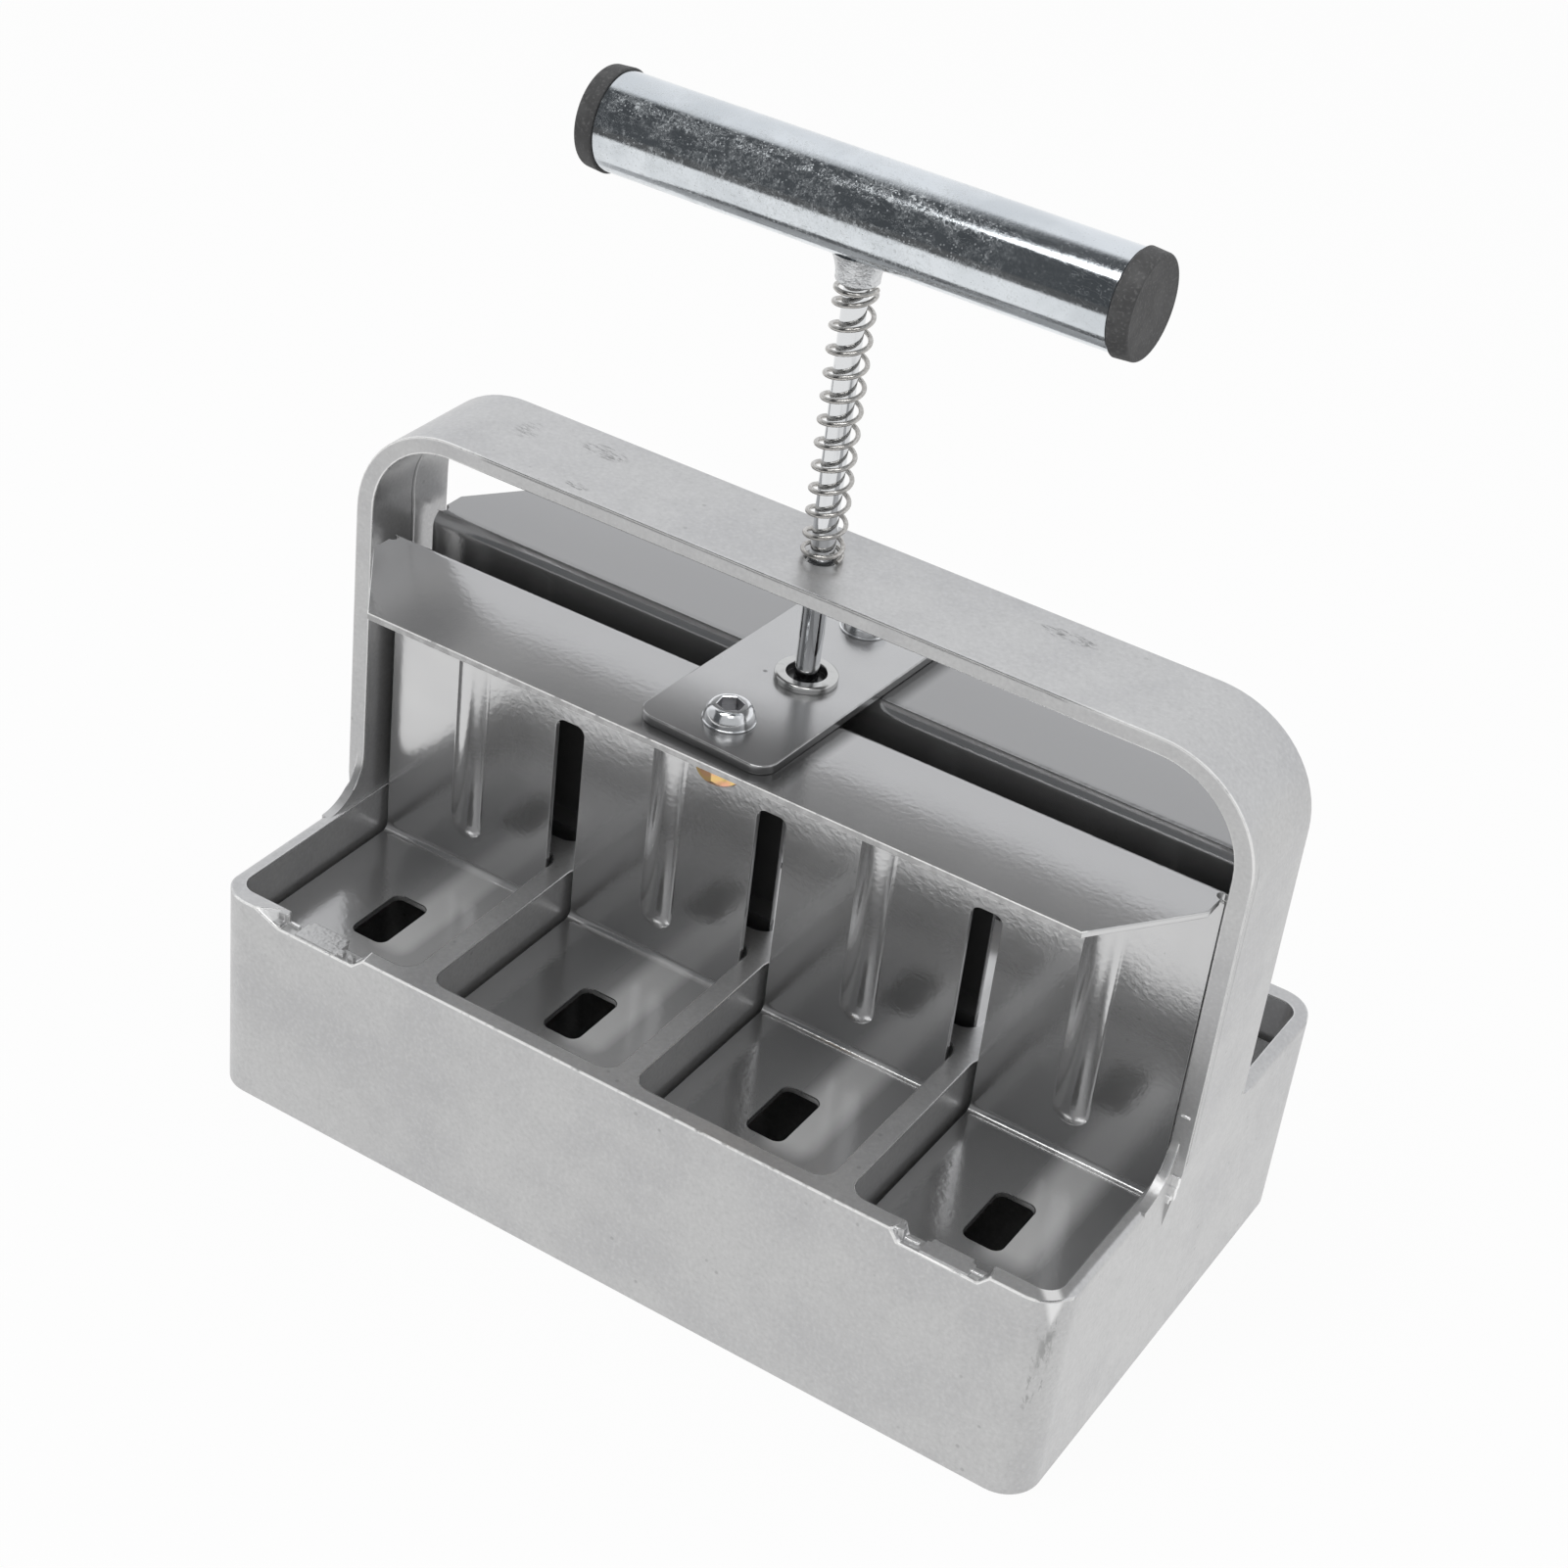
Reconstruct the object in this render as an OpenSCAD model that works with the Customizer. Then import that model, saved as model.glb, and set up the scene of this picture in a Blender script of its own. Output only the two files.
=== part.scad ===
// Soil blocker with eight cells: a cast mould under a bail, and a sprung plunger that ejects the blocks.
// Millimetres, +Z up, origin on the floor at the middle of the mould. The front is -Y.

/* [Mould] */
// Distance between the middles of two cells along the mould
cell_pitch = 53; // [46:0.5:60]
// Thickness of the three cross dividers
divider_t = 5.3; // [3:0.1:7]
// Thickness of the long wall between the front and the rear cells
middle_wall_t = 6.3; // [4:0.1:8]
// Width of the mould over its long walls
mould_w = 125; // [115:1:140]
// Height of the mould from the floor to its rim
mould_h = 54; // [48:0.5:60]
// Thickness of the long outer walls
long_wall_t = 4.3; // [3:0.1:6]
// Thickness of the end walls
end_wall_t = 3.4; // [2.5:0.1:5]
// Radius of the mould's upright outer corners
mould_corner_r = 8.4; // [6.5:0.1:12]
// Radius of the upright corners inside a cell
cell_corner_r = 4; // [2:0.1:6]
// Radius of the rounding along the top of the end walls
end_edge_r = 1.6; // [0.5:0.1:2]
// Depth of the shallow dips in the front rim
rim_dip_depth = 2.7; // [1:0.1:5]
// Length of each dip in the front rim
rim_dip_l = 30; // [15:1:40]
// Distance from the mould's end to the dip at the left
left_dip_inset = 12.6; // [9:0.1:20]
// Distance from the mould's end to the dip at the right
right_dip_inset = 10.4; // [9:0.1:20]
// Length of the slope at each end of a dip
dip_slope_l = 3; // [1:0.5:6]

/* [Bail] */
// Reach of the bail's legs past the mould's end walls
bail_overhang = 2.25; // [1:0.05:6]
// Width of the bail's strap
bail_w = 27.3; // [20:0.1:34]
// Room between the cross plate and the bail over it when the plunger is up
bail_room = 25.4; // [20:0.1:45]
// Thickness of the bail's legs
bail_leg_t = 4.5; // [4:0.1:6]
// Thickness of the bail's top
bail_top_t = 3.9; // [3:0.1:5]
// Diameter of the sunk mouth of the bail's bore, inside the spring
bore_mouth_d = 6.9; // [6.2:0.1:7]
// Depth of the sunk mouth of the bail's bore
bore_mouth_depth = 1.4; // [0.5:0.1:2]
// Outer radius of the bail's two shoulders
bail_shoulder_r = 24.5; // [15:0.5:40]
// Radius of the webs that carry each leg out along the end wall
bail_web_r = 12; // [4:0.5:18]
// Height at which a leg's outer face leaves the end wall
bail_blend_low_z = 42; // [30:1:46]
// Height at which a leg's outer face reaches its full reach
bail_blend_high_z = 60; // [50:1:80]

/* [Ejectors] */
// Thickness of the ejectors' sheet metal
sheet_t = 1.5; // [1:0.1:2]
// Distance between the backs of the two upright sheets
sheet_gap = 11; // [10:0.1:14]
// Inner radius of the sheet's bends
bend_r = 2; // [1:0.1:3]
// Height of the top of the foot plates when the plunger is up
foot_top_z = 42.5; // [40.5:0.5:46]
// Height of the top of the flanges when the plunger is up
flange_top_z = 122.5; // [115:0.5:124]
// Reach of a flange from the mould's middle plane
flange_reach = 38.1; // [35.5:0.1:45]
// Length of a flange along its free edge
flange_edge_l = 172; // [120:1:190]
// Place where a flange's slanted ends begin, from the mould's middle plane
flange_corner_y = 15.7; // [13:0.1:25]
// Clearance between the foot plates and the walls round them
foot_clearance = 1.1; // [0.6:0.1:1.5]
// Height of the top of the slots that pass the dividers
slot_top_z = 93.5; // [90:0.5:100]
// Radius of the slots' top corners
slot_corner_r = 2.2; // [0.5:0.1:2.4]
// Length of the hole in a foot plate, along X
foot_hole_l = 9.2; // [5:0.1:16]
// Width of the hole in a foot plate, along Y
foot_hole_w = 17.3; // [8:0.1:24]
// Radius of the foot holes' corners
foot_hole_r = 2.2; // [0.5:0.1:2.4]
// Distance of the foot holes from the mould's middle plane
foot_hole_y = 34.4; // [28:0.1:40]
// Width of the pressed beads that stiffen the upright sheets
bead_w = 9.1; // [7:0.1:12]
// Height of the beads above the sheet
bead_h = 1.6; // [1:0.1:2]
// Height of the lower end of the beads
bead_low_z = 50.5; // [48:0.5:60]
// Height of the upper end of the beads
bead_high_z = 113; // [100:0.5:113]
// Radius of the relief notches at the ends of the flange bends
relief_r = 1.3; // [0.5:0.1:2]

/* [Cross plate and its fasteners] */
// Length of the cross plate along the mould
plate_l = 33; // [26:0.5:45]
// Width of the cross plate across the mould
plate_w = 71.4; // [65:0.1:74]
// Thickness of the cross plate
plate_t = 2.2; // [1.5:0.1:4]
// Radius of the cross plate's corners
plate_corner_r = 4.5; // [1:0.1:8]
// Offset of the cross plate and its screws to the left of the push rod
plate_offset = 2.4; // [0:0.1:4]
// Offset of the cross plate and its screws to the rear of the push rod
plate_shift = 1.2; // [-2:0.1:2]
// Slight turn with which the cross plate is screwed on, in degrees clockwise from above
plate_turn = 2.7; // [0:0.1:4]
// Distance of each plate screw from the middle of the cross plate
screw_y = 25.2; // [23:0.1:27]
// Diameter of the plate screws' thread
screw_d = 6; // [5:0.1:6.5]
// Length of the plate screws under the head
screw_l = 12; // [11:0.5:13]
// Diameter of the thin rim under a screw's head
screw_flange_d = 11.4; // [11:0.1:14]
// Thickness of the thin rim under a screw's head
screw_flange_t = 0.5; // [0.4:0.1:1]
// Diameter of a screw's domed head
screw_head_d = 10.9; // [10.5:0.1:11]
// Height of a screw's head with its rim
screw_head_h = 3.9; // [3.5:0.1:4.5]
// Width across the flats of the socket in a screw's head
socket_af = 5; // [4:0.1:5.2]
// Depth of the socket in a screw's head
socket_depth = 2; // [1:0.1:2.4]
// Outer diameter of the washers under the cap nuts
nut_washer_d = 12; // [11.6:0.1:13]
// Thickness of the washers under the cap nuts
nut_washer_t = 1.6; // [1:0.1:2]
// Width across the flats of the cap nuts
cap_nut_af = 10; // [9.5:0.1:10.5]
// Height of the cap nuts
cap_nut_h = 10.2; // [9.8:0.1:11]
// Radius of the rounded closed end of the cap nuts
cap_nut_end_r = 6.5; // [6:0.1:8]

/* [Push rod and spring] */
// Diameter of the push rod
rod_d = 5.2; // [4.8:0.1:5.8]
// Clearance round the push rod in the bail's bore
rod_clearance = 0.08; // [0.04:0.01:0.1]
// Diameter of the rod's threaded neck under its shoulder
rod_neck_d = 4; // [3:0.1:4.4]
// Length of the threaded neck
rod_neck_l = 8; // [7:0.5:10]
// Outer diameter of the ring round the rod's foot
ring_d = 13.7; // [13:0.1:16]
// Bore of the ring round the rod's foot
ring_bore_d = 8.6; // [7:0.1:10]
// Height of the ring
ring_h = 1.8; // [1.4:0.1:3]
// Radius of the ring's rounded upper edges
ring_edge_r = 0.7; // [0.2:0.1:0.8]
// Outer diameter of the washer on the rod's neck
rod_washer_d = 9; // [8.2:0.1:9.6]
// Thickness of the washer on the rod's neck
rod_washer_t = 0.8; // [0.6:0.1:1.2]
// Width across the flats of the nut on the rod's neck
rod_nut_af = 7; // [6.5:0.1:8]
// Thickness of the nut on the rod's neck
rod_nut_t = 3.2; // [2.5:0.1:4]
// Outer diameter of the return spring
spring_d = 9.2; // [8.8:0.1:11]
// Diameter of the spring's wire
wire_d = 1.05; // [0.8:0.05:1.2]
// Length of the space that the spring fills, from the bail to the collar
spring_l = 61.5; // [52:0.5:72]
// Number of open curls between the closed end curls
open_curls = 11; // [8:1:12]
// Free gap between the wires of a closed end curl
closed_curl_gap = 0.6; // [0.5:0.05:1]

/* [Handle] */
// Height of the handle's axis over the top of the spring
handle_rise = 15.2; // [14.5:0.1:22]
// Outer diameter of the handle's tube
tube_d = 20.4; // [18:0.1:22]
// Wall of the handle's tube
tube_wall = 1.5; // [1:0.1:2.5]
// Length of the handle over its end caps
handle_l = 122.6; // [100:0.1:160]
// Thickness of the part of an end cap that shows
cap_t = 4.3; // [3:0.1:8]
// Step from the tube out to the rim of an end cap
cap_step = 0.5; // [0.2:0.1:1.5]
// Radius of the rounded edge of an end cap
cap_edge_r = 1.2; // [0.4:0.1:2]
// Length of the plug of an end cap inside the tube
cap_plug_l = 12; // [6:0.5:20]
// Wall of the plug of an end cap
cap_plug_wall = 2; // [1:0.1:3]
// Diameter of the collar over the spring at its lower end
collar_d = 9; // [8.8:0.1:11]
// Diameter of the collar where it flares out under the tube
collar_top_d = 11.4; // [11:0.1:13]
// Length of the rod inside the tube
rod_in_tube_l = 3; // [2:0.5:6]

/* [Fits] */
// Radial clearance of screws and of the rod's neck in their through holes
hole_clearance = 0.2; // [0.1:0.05:0.4]
// Radial clearance of threads in their nuts
thread_clearance = 0.05; // [0.02:0.01:0.1]
// Clearance between fixed parts that seat on or in each other
seat_clearance = 0.05; // [0.02:0.01:0.1]
// Clearance of the spring from the faces that it presses on
spring_clearance = 0.3; // [0.2:0.05:0.4]

/* [Hidden] */
$fn = 64;

// Overrun of cutting shapes past the faces that they cut
over = 0.5;

// The mould's cells stand in a grid of four by two
cells_along = 4;
cell_l = cell_pitch - divider_t;
cells_l = cells_along * cell_pitch - divider_t;
mould_l = cells_l + 2 * end_wall_t;
inner_w = mould_w - 2 * long_wall_t;
cell_w = (inner_w - middle_wall_t) / 2;
cell_y = (middle_wall_t + cell_w) / 2;
cell_xs = [for (i = [0 : cells_along - 1]) (i - (cells_along - 1) / 2) * cell_pitch];
divider_xs = [for (i = [1 : cells_along - 1]) (i - cells_along / 2) * cell_pitch];

// The bail goes over the cross plate, and its inside follows its outside
plate_top_z = flange_top_z + plate_t;
bail_under_z = plate_top_z + bail_room;
bail_top_z = bail_under_z + bail_top_t;
bail_l = mould_l + 2 * bail_overhang;
bail_inner_l = bail_l - 2 * bail_leg_t;
bail_inner_r = bail_shoulder_r - bail_leg_t;

// The ejectors' sheet, seen from the end
sheet_back_y = sheet_gap / 2;
sheet_front_y = sheet_back_y + sheet_t;
bend_outer_r = bend_r + sheet_t;
bend_y = sheet_front_y + bend_r;
low_bend_z = foot_top_z + bend_r;
high_bend_z = flange_top_z - bend_outer_r;
foot_under_z = foot_top_z - sheet_t;
flange_under_z = flange_top_z - sheet_t;
ejector_l = cells_l - 2 * foot_clearance;
foot_l = cell_l - 2 * foot_clearance;
foot_reach = inner_w / 2 - foot_clearance;
foot_corner_r = max(cell_corner_r - foot_clearance, foot_clearance);
slot_w = divider_t + 2 * foot_clearance;

// A bead is part of a round bar pressed through the sheet
bead_r = (pow(bead_w / 2, 2) + pow(bead_h, 2)) / (2 * bead_h);
bead_inner_r = bead_r - sheet_t;
bead_axis_y = sheet_front_y + bead_h - bead_r;
bead_end_w = sqrt(pow(bead_r, 2) - pow(sheet_front_y - bead_axis_y, 2));

// The stack on the cross plate
screw_hole_d = screw_d + 2 * hole_clearance;
neck_hole_d = rod_neck_d + 2 * hole_clearance;
nut_washer_z = flange_under_z - nut_washer_t;
rod_washer_z = flange_top_z - rod_washer_t;

// The handle and what hangs from it
spring_top_z = bail_top_z + spring_l;
handle_z = spring_top_z + handle_rise;
tube_r = tube_d / 2;
tube_bore_r = tube_r - tube_wall;
tube_l = handle_l - 2 * cap_t;
rod_bore_d = rod_d + 2 * rod_clearance;
rod_top_z = handle_z - tube_bore_r + rod_in_tube_l;
collar_h = handle_z - spring_top_z;
collar_flare = (collar_top_d - collar_d) / (collar_h - tube_r);

// The spring stands on the bail and presses on the collar
coil_r = (spring_d - wire_d) / 2;
spring_low_z = bail_top_z + spring_clearance;
spring_high_z = spring_top_z - spring_clearance;
closed_pitch = wire_d + closed_curl_gap;
closed_curls = 1;
all_curls = open_curls + 2 * closed_curls;
open_pitch = (spring_high_z - spring_low_z - wire_d - 2 * closed_curls * closed_pitch) / open_curls;
rings_per_curl = 8;
ring_sides = 6;

// Extrudes a flat shape drawn in Y and Z along the mould
module along_x(length) {
  rotate([90, 0, 90]) linear_extrude(length, center = true) children();
}

// Extrudes a flat shape drawn in X and Z across the mould
module across_y(width) {
  rotate([90, 0, 0]) linear_extrude(width, center = true) children();
}

// A flat rectangle with round corners, centred
module rounded_rect(length, width, r) {
  square([length - 2 * r, width], center = true);
  square([length, width - 2 * r], center = true);
  for (sx = [-1, 1], sy = [-1, 1]) translate([sx * (length / 2 - r), sy * (width / 2 - r)]) circle(r);
}

// A flat bar with round upper corners that stands on its lower edge
module round_top_bar(width, height, r) {
  translate([-width / 2, 0]) square([width, height - r]);
  translate([-width / 2 + r, 0]) square([width - 2 * r, height]);
  for (side = [-1, 1]) translate([side * (width / 2 - r), height - r]) circle(r);
}

// A flat quarter of a ring in the quadrant that the two signs name
module quarter_ring(inner_r, outer_r, sign_x, sign_y) {
  intersection() {
    difference() {
      circle(outer_r);
      circle(inner_r);
    }
    translate([sign_x * outer_r / 2, sign_y * outer_r / 2]) square(outer_r, center = true);
  }
}

// A hexagonal prism that stands on its lower face
module hex_prism(across_flats, height) {
  cylinder(h = height, d = across_flats / cos(30), $fn = 6);
}

// Cells of the mould, cut right through
module cell_pockets() {
  for (x = cell_xs, side = [-1, 1]) {
    translate([x, side * cell_y, -over])
      linear_extrude(mould_h + 2 * over) rounded_rect(cell_l, cell_w, cell_corner_r);
  }
}

// One dip in the front rim, drawn from its left end
module rim_dip() {
  polygon([
    [0, over],
    [0, 0],
    [dip_slope_l, -rim_dip_depth],
    [rim_dip_l - dip_slope_l, -rim_dip_depth],
    [rim_dip_l, 0],
    [rim_dip_l, over]
  ]);
}

// The mould's block with its end walls rounded along the top
module mould_block() {
  intersection() {
    linear_extrude(mould_h) rounded_rect(mould_l, mould_w, mould_corner_r);
    across_y(mould_w + 2 * over) round_top_bar(mould_l, mould_h, end_edge_r);
  }
}

// Outline of the bail over its legs, from the height where they leave the end walls
module bail_outline() {
  translate([0, bail_blend_high_z]) round_top_bar(bail_l, bail_top_z - bail_blend_high_z, bail_shoulder_r);
  polygon([
    [-mould_l / 2, bail_blend_low_z],
    [mould_l / 2, bail_blend_low_z],
    [bail_l / 2, bail_blend_high_z],
    [-bail_l / 2, bail_blend_high_z]
  ]);
}

// Strap of the bail with its two legs
module bail_strap() {
  across_y(bail_w) difference() {
    bail_outline();
    translate([0, bail_blend_low_z - over])
      round_top_bar(bail_inner_l, bail_under_z - bail_blend_low_z + over, bail_inner_r);
  }
}

// Webs that widen the foot of a leg along the top of the end wall
module bail_webs() {
  web_x = (bail_inner_l + mould_l) / 4;
  web_t = (mould_l - bail_inner_l) / 2;
  for (side = [-1, 1]) translate([side * web_x, 0, mould_h - end_edge_r]) along_x(web_t) {
    for (turn = [-1, 1]) difference() {
      translate([turn * (bail_w + bail_web_r) / 2, (bail_web_r + end_edge_r) / 2])
        square([bail_web_r, bail_web_r + end_edge_r], center = true);
      translate([turn * (bail_w / 2 + bail_web_r), bail_web_r + end_edge_r]) circle(bail_web_r);
    }
  }
}

// One casting: the mould with its cells and the bail that stands on its end walls
module mould_body() {
  color("silver") difference() {
    union() {
      mould_block();
      bail_strap();
      bail_webs();
    }
    cell_pockets();
    translate([-mould_l / 2 + left_dip_inset, (long_wall_t - mould_w) / 2, mould_h])
      across_y(long_wall_t + 2 * over) rim_dip();
    translate([mould_l / 2 - right_dip_inset - rim_dip_l, (long_wall_t - mould_w) / 2, mould_h])
      across_y(long_wall_t + 2 * over) rim_dip();
    translate([0, 0, bail_under_z - over]) cylinder(h = bail_top_t + 2 * over, d = rod_bore_d);
    translate([0, 0, bail_top_z - bore_mouth_depth]) cylinder(h = bore_mouth_depth + over, d = bore_mouth_d);
  }
}

// Upright sheet of an ejector with its two bends, seen from the end
module sheet_profile() {
  translate([sheet_back_y, low_bend_z]) square([sheet_t, high_bend_z - low_bend_z]);
  translate([bend_y, low_bend_z]) quarter_ring(bend_r, bend_outer_r, -1, -1);
  translate([bend_y, high_bend_z]) quarter_ring(bend_r, bend_outer_r, -1, 1);
}

// Flange of an ejector, seen from above
module flange_outline() {
  polygon([
    [-ejector_l / 2, bend_y],
    [ejector_l / 2, bend_y],
    [ejector_l / 2, flange_corner_y],
    [flange_edge_l / 2, flange_reach],
    [-flange_edge_l / 2, flange_reach],
    [-ejector_l / 2, flange_corner_y]
  ]);
}

// Foot plate of one cell, seen from above
module foot_outline() {
  straight_w = foot_reach - bend_y - foot_corner_r;
  translate([-foot_l / 2, bend_y]) square([foot_l, straight_w]);
  translate([-foot_l / 2 + foot_corner_r, bend_y]) square([foot_l - 2 * foot_corner_r, foot_reach - bend_y]);
  for (side = [-1, 1]) {
    translate([side * (foot_l / 2 - foot_corner_r), foot_reach - foot_corner_r]) circle(foot_corner_r);
  }
}

// A round bar with ball ends that shapes one face of a bead
module bead_bar(r) {
  low_z = bead_low_z + bead_end_w;
  high_z = bead_high_z - bead_end_w;
  translate([0, bead_axis_y, low_z]) rotate_extrude() intersection() {
    union() {
      circle(r);
      square([r, high_z - low_z]);
      translate([0, high_z - low_z]) circle(r);
    }
    translate([0, -r]) square([r, high_z - low_z + 2 * r]);
  }
}

// The raised side of a bead
module bead_face() {
  intersection() {
    bead_bar(bead_r);
    translate([-bead_r, sheet_back_y, 0]) cube([2 * bead_r, bead_r, flange_top_z]);
  }
}

// Slot that lets an ejector pass a divider
module divider_slot() {
  reach = sheet_front_y + bend_r + over;
  translate([0, reach / 2, foot_under_z - over])
    across_y(reach) round_top_bar(slot_w, slot_top_z - foot_under_z + over, slot_corner_r);
}

// One bent sheet: four foot plates, a slotted upright sheet with beads, and a flange. Drawn for the rear.
module ejector() {
  difference() {
    union() {
      along_x(ejector_l) sheet_profile();
      translate([0, 0, flange_under_z]) linear_extrude(sheet_t) flange_outline();
      for (x = cell_xs) {
        translate([x, 0, foot_under_z]) linear_extrude(sheet_t) foot_outline();
        translate([x, 0, 0]) bead_face();
      }
    }
    for (x = divider_xs) translate([x, 0, 0]) divider_slot();
    for (x = cell_xs) {
      translate([x, 0, 0]) bead_bar(bead_inner_r);
      translate([x, foot_hole_y, foot_under_z - over])
        linear_extrude(sheet_t + 2 * over) rounded_rect(foot_hole_l, foot_hole_w, foot_hole_r);
    }
    for (side = [-1, 1]) translate([side * ejector_l / 2, bend_y, high_bend_z])
      cylinder(h = bend_outer_r + over, r = relief_r);
  }
}

// Puts its children where the cross plate's middle lies, turned as the plate is
module at_plate() {
  translate([-plate_offset, plate_shift, 0]) rotate(-plate_turn) children();
}

// Places its children at the two plate screws
module at_screws() {
  at_plate() for (side = [-1, 1]) translate([0, side * screw_y, 0]) children();
}

// Drills the holes of the plate screws through what its children are, between two heights
module drilled(low_z, high_z) {
  difference() {
    children();
    at_screws() translate([0, 0, low_z - over]) cylinder(h = high_z - low_z + 2 * over, d = screw_hole_d);
  }
}

// Ejector of the four front cells
module front_ejector() {
  color("dimgray") drilled(flange_under_z, flange_top_z) mirror([0, 1, 0]) ejector();
}

// Ejector of the four rear cells
module rear_ejector() {
  color("dimgray") drilled(flange_under_z, flange_top_z) ejector();
}

// Plate that ties the two flanges together and carries the push rod
module cross_plate() {
  color("slategray") drilled(flange_top_z, plate_top_z) difference() {
    translate([0, 0, flange_top_z]) at_plate() linear_extrude(plate_t) rounded_rect(plate_l, plate_w, plate_corner_r);
    translate([0, 0, flange_top_z - over]) cylinder(h = plate_t + 2 * over, d = neck_hole_d);
  }
}

// One button-head screw with a thin rim, with the underside of its head on the floor
module plate_screw() {
  dome_h = screw_head_h - screw_flange_t;
  dome_r = (pow(screw_head_d / 2, 2) + pow(dome_h, 2)) / (2 * dome_h);
  difference() {
    union() {
      cylinder(h = screw_flange_t, d = screw_flange_d);
      intersection() {
        translate([0, 0, screw_head_h - dome_r]) sphere(dome_r);
        cylinder(h = screw_head_h, d = screw_head_d);
      }
      translate([0, 0, -screw_l]) cylinder(h = screw_l, d = screw_d);
    }
    translate([0, 0, screw_head_h - socket_depth]) hex_prism(socket_af, socket_depth + over);
  }
}

// Two screws that hold the cross plate on the flanges
module plate_screws() {
  color("gainsboro") at_screws() translate([0, 0, plate_top_z]) plate_screw();
}

// Washers between the flanges and the cap nuts
module nut_washers() {
  color("gold") at_screws() translate([0, 0, nut_washer_z]) difference() {
    cylinder(h = nut_washer_t, d = nut_washer_d);
    translate([0, 0, -over]) cylinder(h = nut_washer_t + 2 * over, d = screw_hole_d);
  }
}

// One cap nut that hangs from its upper face, a hexagon with a rounded closed end
module cap_nut() {
  bore_l = screw_l - plate_t - sheet_t - nut_washer_t + 2 * over;
  difference() {
    intersection() {
      translate([0, 0, -cap_nut_h]) hex_prism(cap_nut_af, cap_nut_h);
      translate([0, 0, -cap_nut_h + cap_nut_end_r]) sphere(cap_nut_end_r);
    }
    translate([0, 0, -bore_l]) cylinder(h = bore_l + over, d = screw_d + 2 * thread_clearance);
  }
}

// Cap nuts under the flanges
module cap_nuts() {
  color("goldenrod") at_screws() translate([0, 0, nut_washer_z]) cap_nut();
}

// Bright ring on the cross plate round the foot of the push rod
module foot_ring() {
  ring_w = (ring_d - ring_bore_d) / 2;
  color("gainsboro") translate([0, 0, plate_top_z]) rotate_extrude()
    translate([ring_bore_d / 2 + ring_w / 2, 0]) round_top_bar(ring_w, ring_h, ring_edge_r);
}

// Push rod: it stands on the cross plate with its shoulder and ends inside the handle
module push_rod() {
  color("gainsboro") {
    translate([0, 0, plate_top_z]) cylinder(h = rod_top_z - plate_top_z, d = rod_d);
    translate([0, 0, plate_top_z - rod_neck_l]) cylinder(h = rod_neck_l, d = rod_neck_d);
  }
}

// Washer on the rod's neck under the cross plate
module rod_washer() {
  color("silver") translate([0, 0, rod_washer_z]) difference() {
    cylinder(h = rod_washer_t, d = rod_washer_d);
    translate([0, 0, -over]) cylinder(h = rod_washer_t + 2 * over, d = neck_hole_d);
  }
}

// Nut that clamps the push rod to the cross plate
module rod_nut() {
  color("gold") translate([0, 0, rod_washer_z - rod_nut_t]) difference() {
    hex_prism(rod_nut_af, rod_nut_t);
    translate([0, 0, -over]) cylinder(h = rod_nut_t + 2 * over, d = rod_neck_d + 2 * thread_clearance);
  }
}

// Height of the spring's wire above its lowest ring after a number of curls
function rise(curls) =
  min(curls, closed_curls) * closed_pitch
  + max(0, min(curls - closed_curls, open_curls)) * open_pitch
  + max(0, curls - closed_curls - open_curls) * closed_pitch;

// Middle of the wire after a number of curls
function wire_point(curls) = [
  coil_r * cos(360 * curls),
  coil_r * sin(360 * curls),
  spring_low_z + wire_d / 2 + rise(curls)
];

function unit(v) = v / norm(v);
wire_step = 1 / rings_per_curl;
wire_curls = [for (i = [0 : all_curls * rings_per_curl]) wire_point(i * wire_step)];
wire_tail = wire_d * unit([0, 1, closed_pitch / (2 * PI * coil_r)]);
wire_path = concat([wire_curls[0] - wire_tail], wire_curls, [wire_curls[len(wire_curls) - 1] + wire_tail]);
wire_last = len(wire_path) - 1;

// Direction of the wire at one of its rings
function wire_dir(i) = unit(wire_path[min(i + 1, wire_last)] - wire_path[max(i - 1, 0)]);

// Ring of points round the wire
function wire_ring(i) = let (
  out = unit([wire_path[i][0], wire_path[i][1], 0]),
  side = unit(cross(wire_dir(i), out)),
  outward = cross(side, wire_dir(i))
) [
  for (k = [0 : ring_sides - 1]) let (a = 360 * k / ring_sides)
    wire_path[i] + wire_d / 2 * (cos(a) * outward + sin(a) * side)
];
wire_points = [for (i = [0 : wire_last]) each wire_ring(i)];
wire_sides = [
  for (i = [0 : wire_last - 1], k = [0 : ring_sides - 1]) let (
    a = i * ring_sides + k,
    b = i * ring_sides + (k + 1) % ring_sides
  ) each [[a, b, a + ring_sides], [b, b + ring_sides, a + ring_sides]]
];
wire_ends = [
  for (k = [1 : ring_sides - 2]) each [
    [0, k + 1, k],
    [wire_last * ring_sides, wire_last * ring_sides + k, wire_last * ring_sides + k + 1]
  ]
];

// Least distance between the surface points of neighbouring curls
spring_self_gap = min([
  for (i = [0 : wire_last - rings_per_curl], j = [i + rings_per_curl - 2 : min(i + rings_per_curl + 2, wire_last)])
    for (p = wire_ring(i), q = wire_ring(j)) norm(p - q)
]);
echo(least_gap_of_spring_to_itself = spring_self_gap);

// Compression spring round the push rod, one unbroken wire
module return_spring() {
  color("lightgray") polyhedron(points = wire_points, faces = concat(wire_sides, wire_ends));
}

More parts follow.
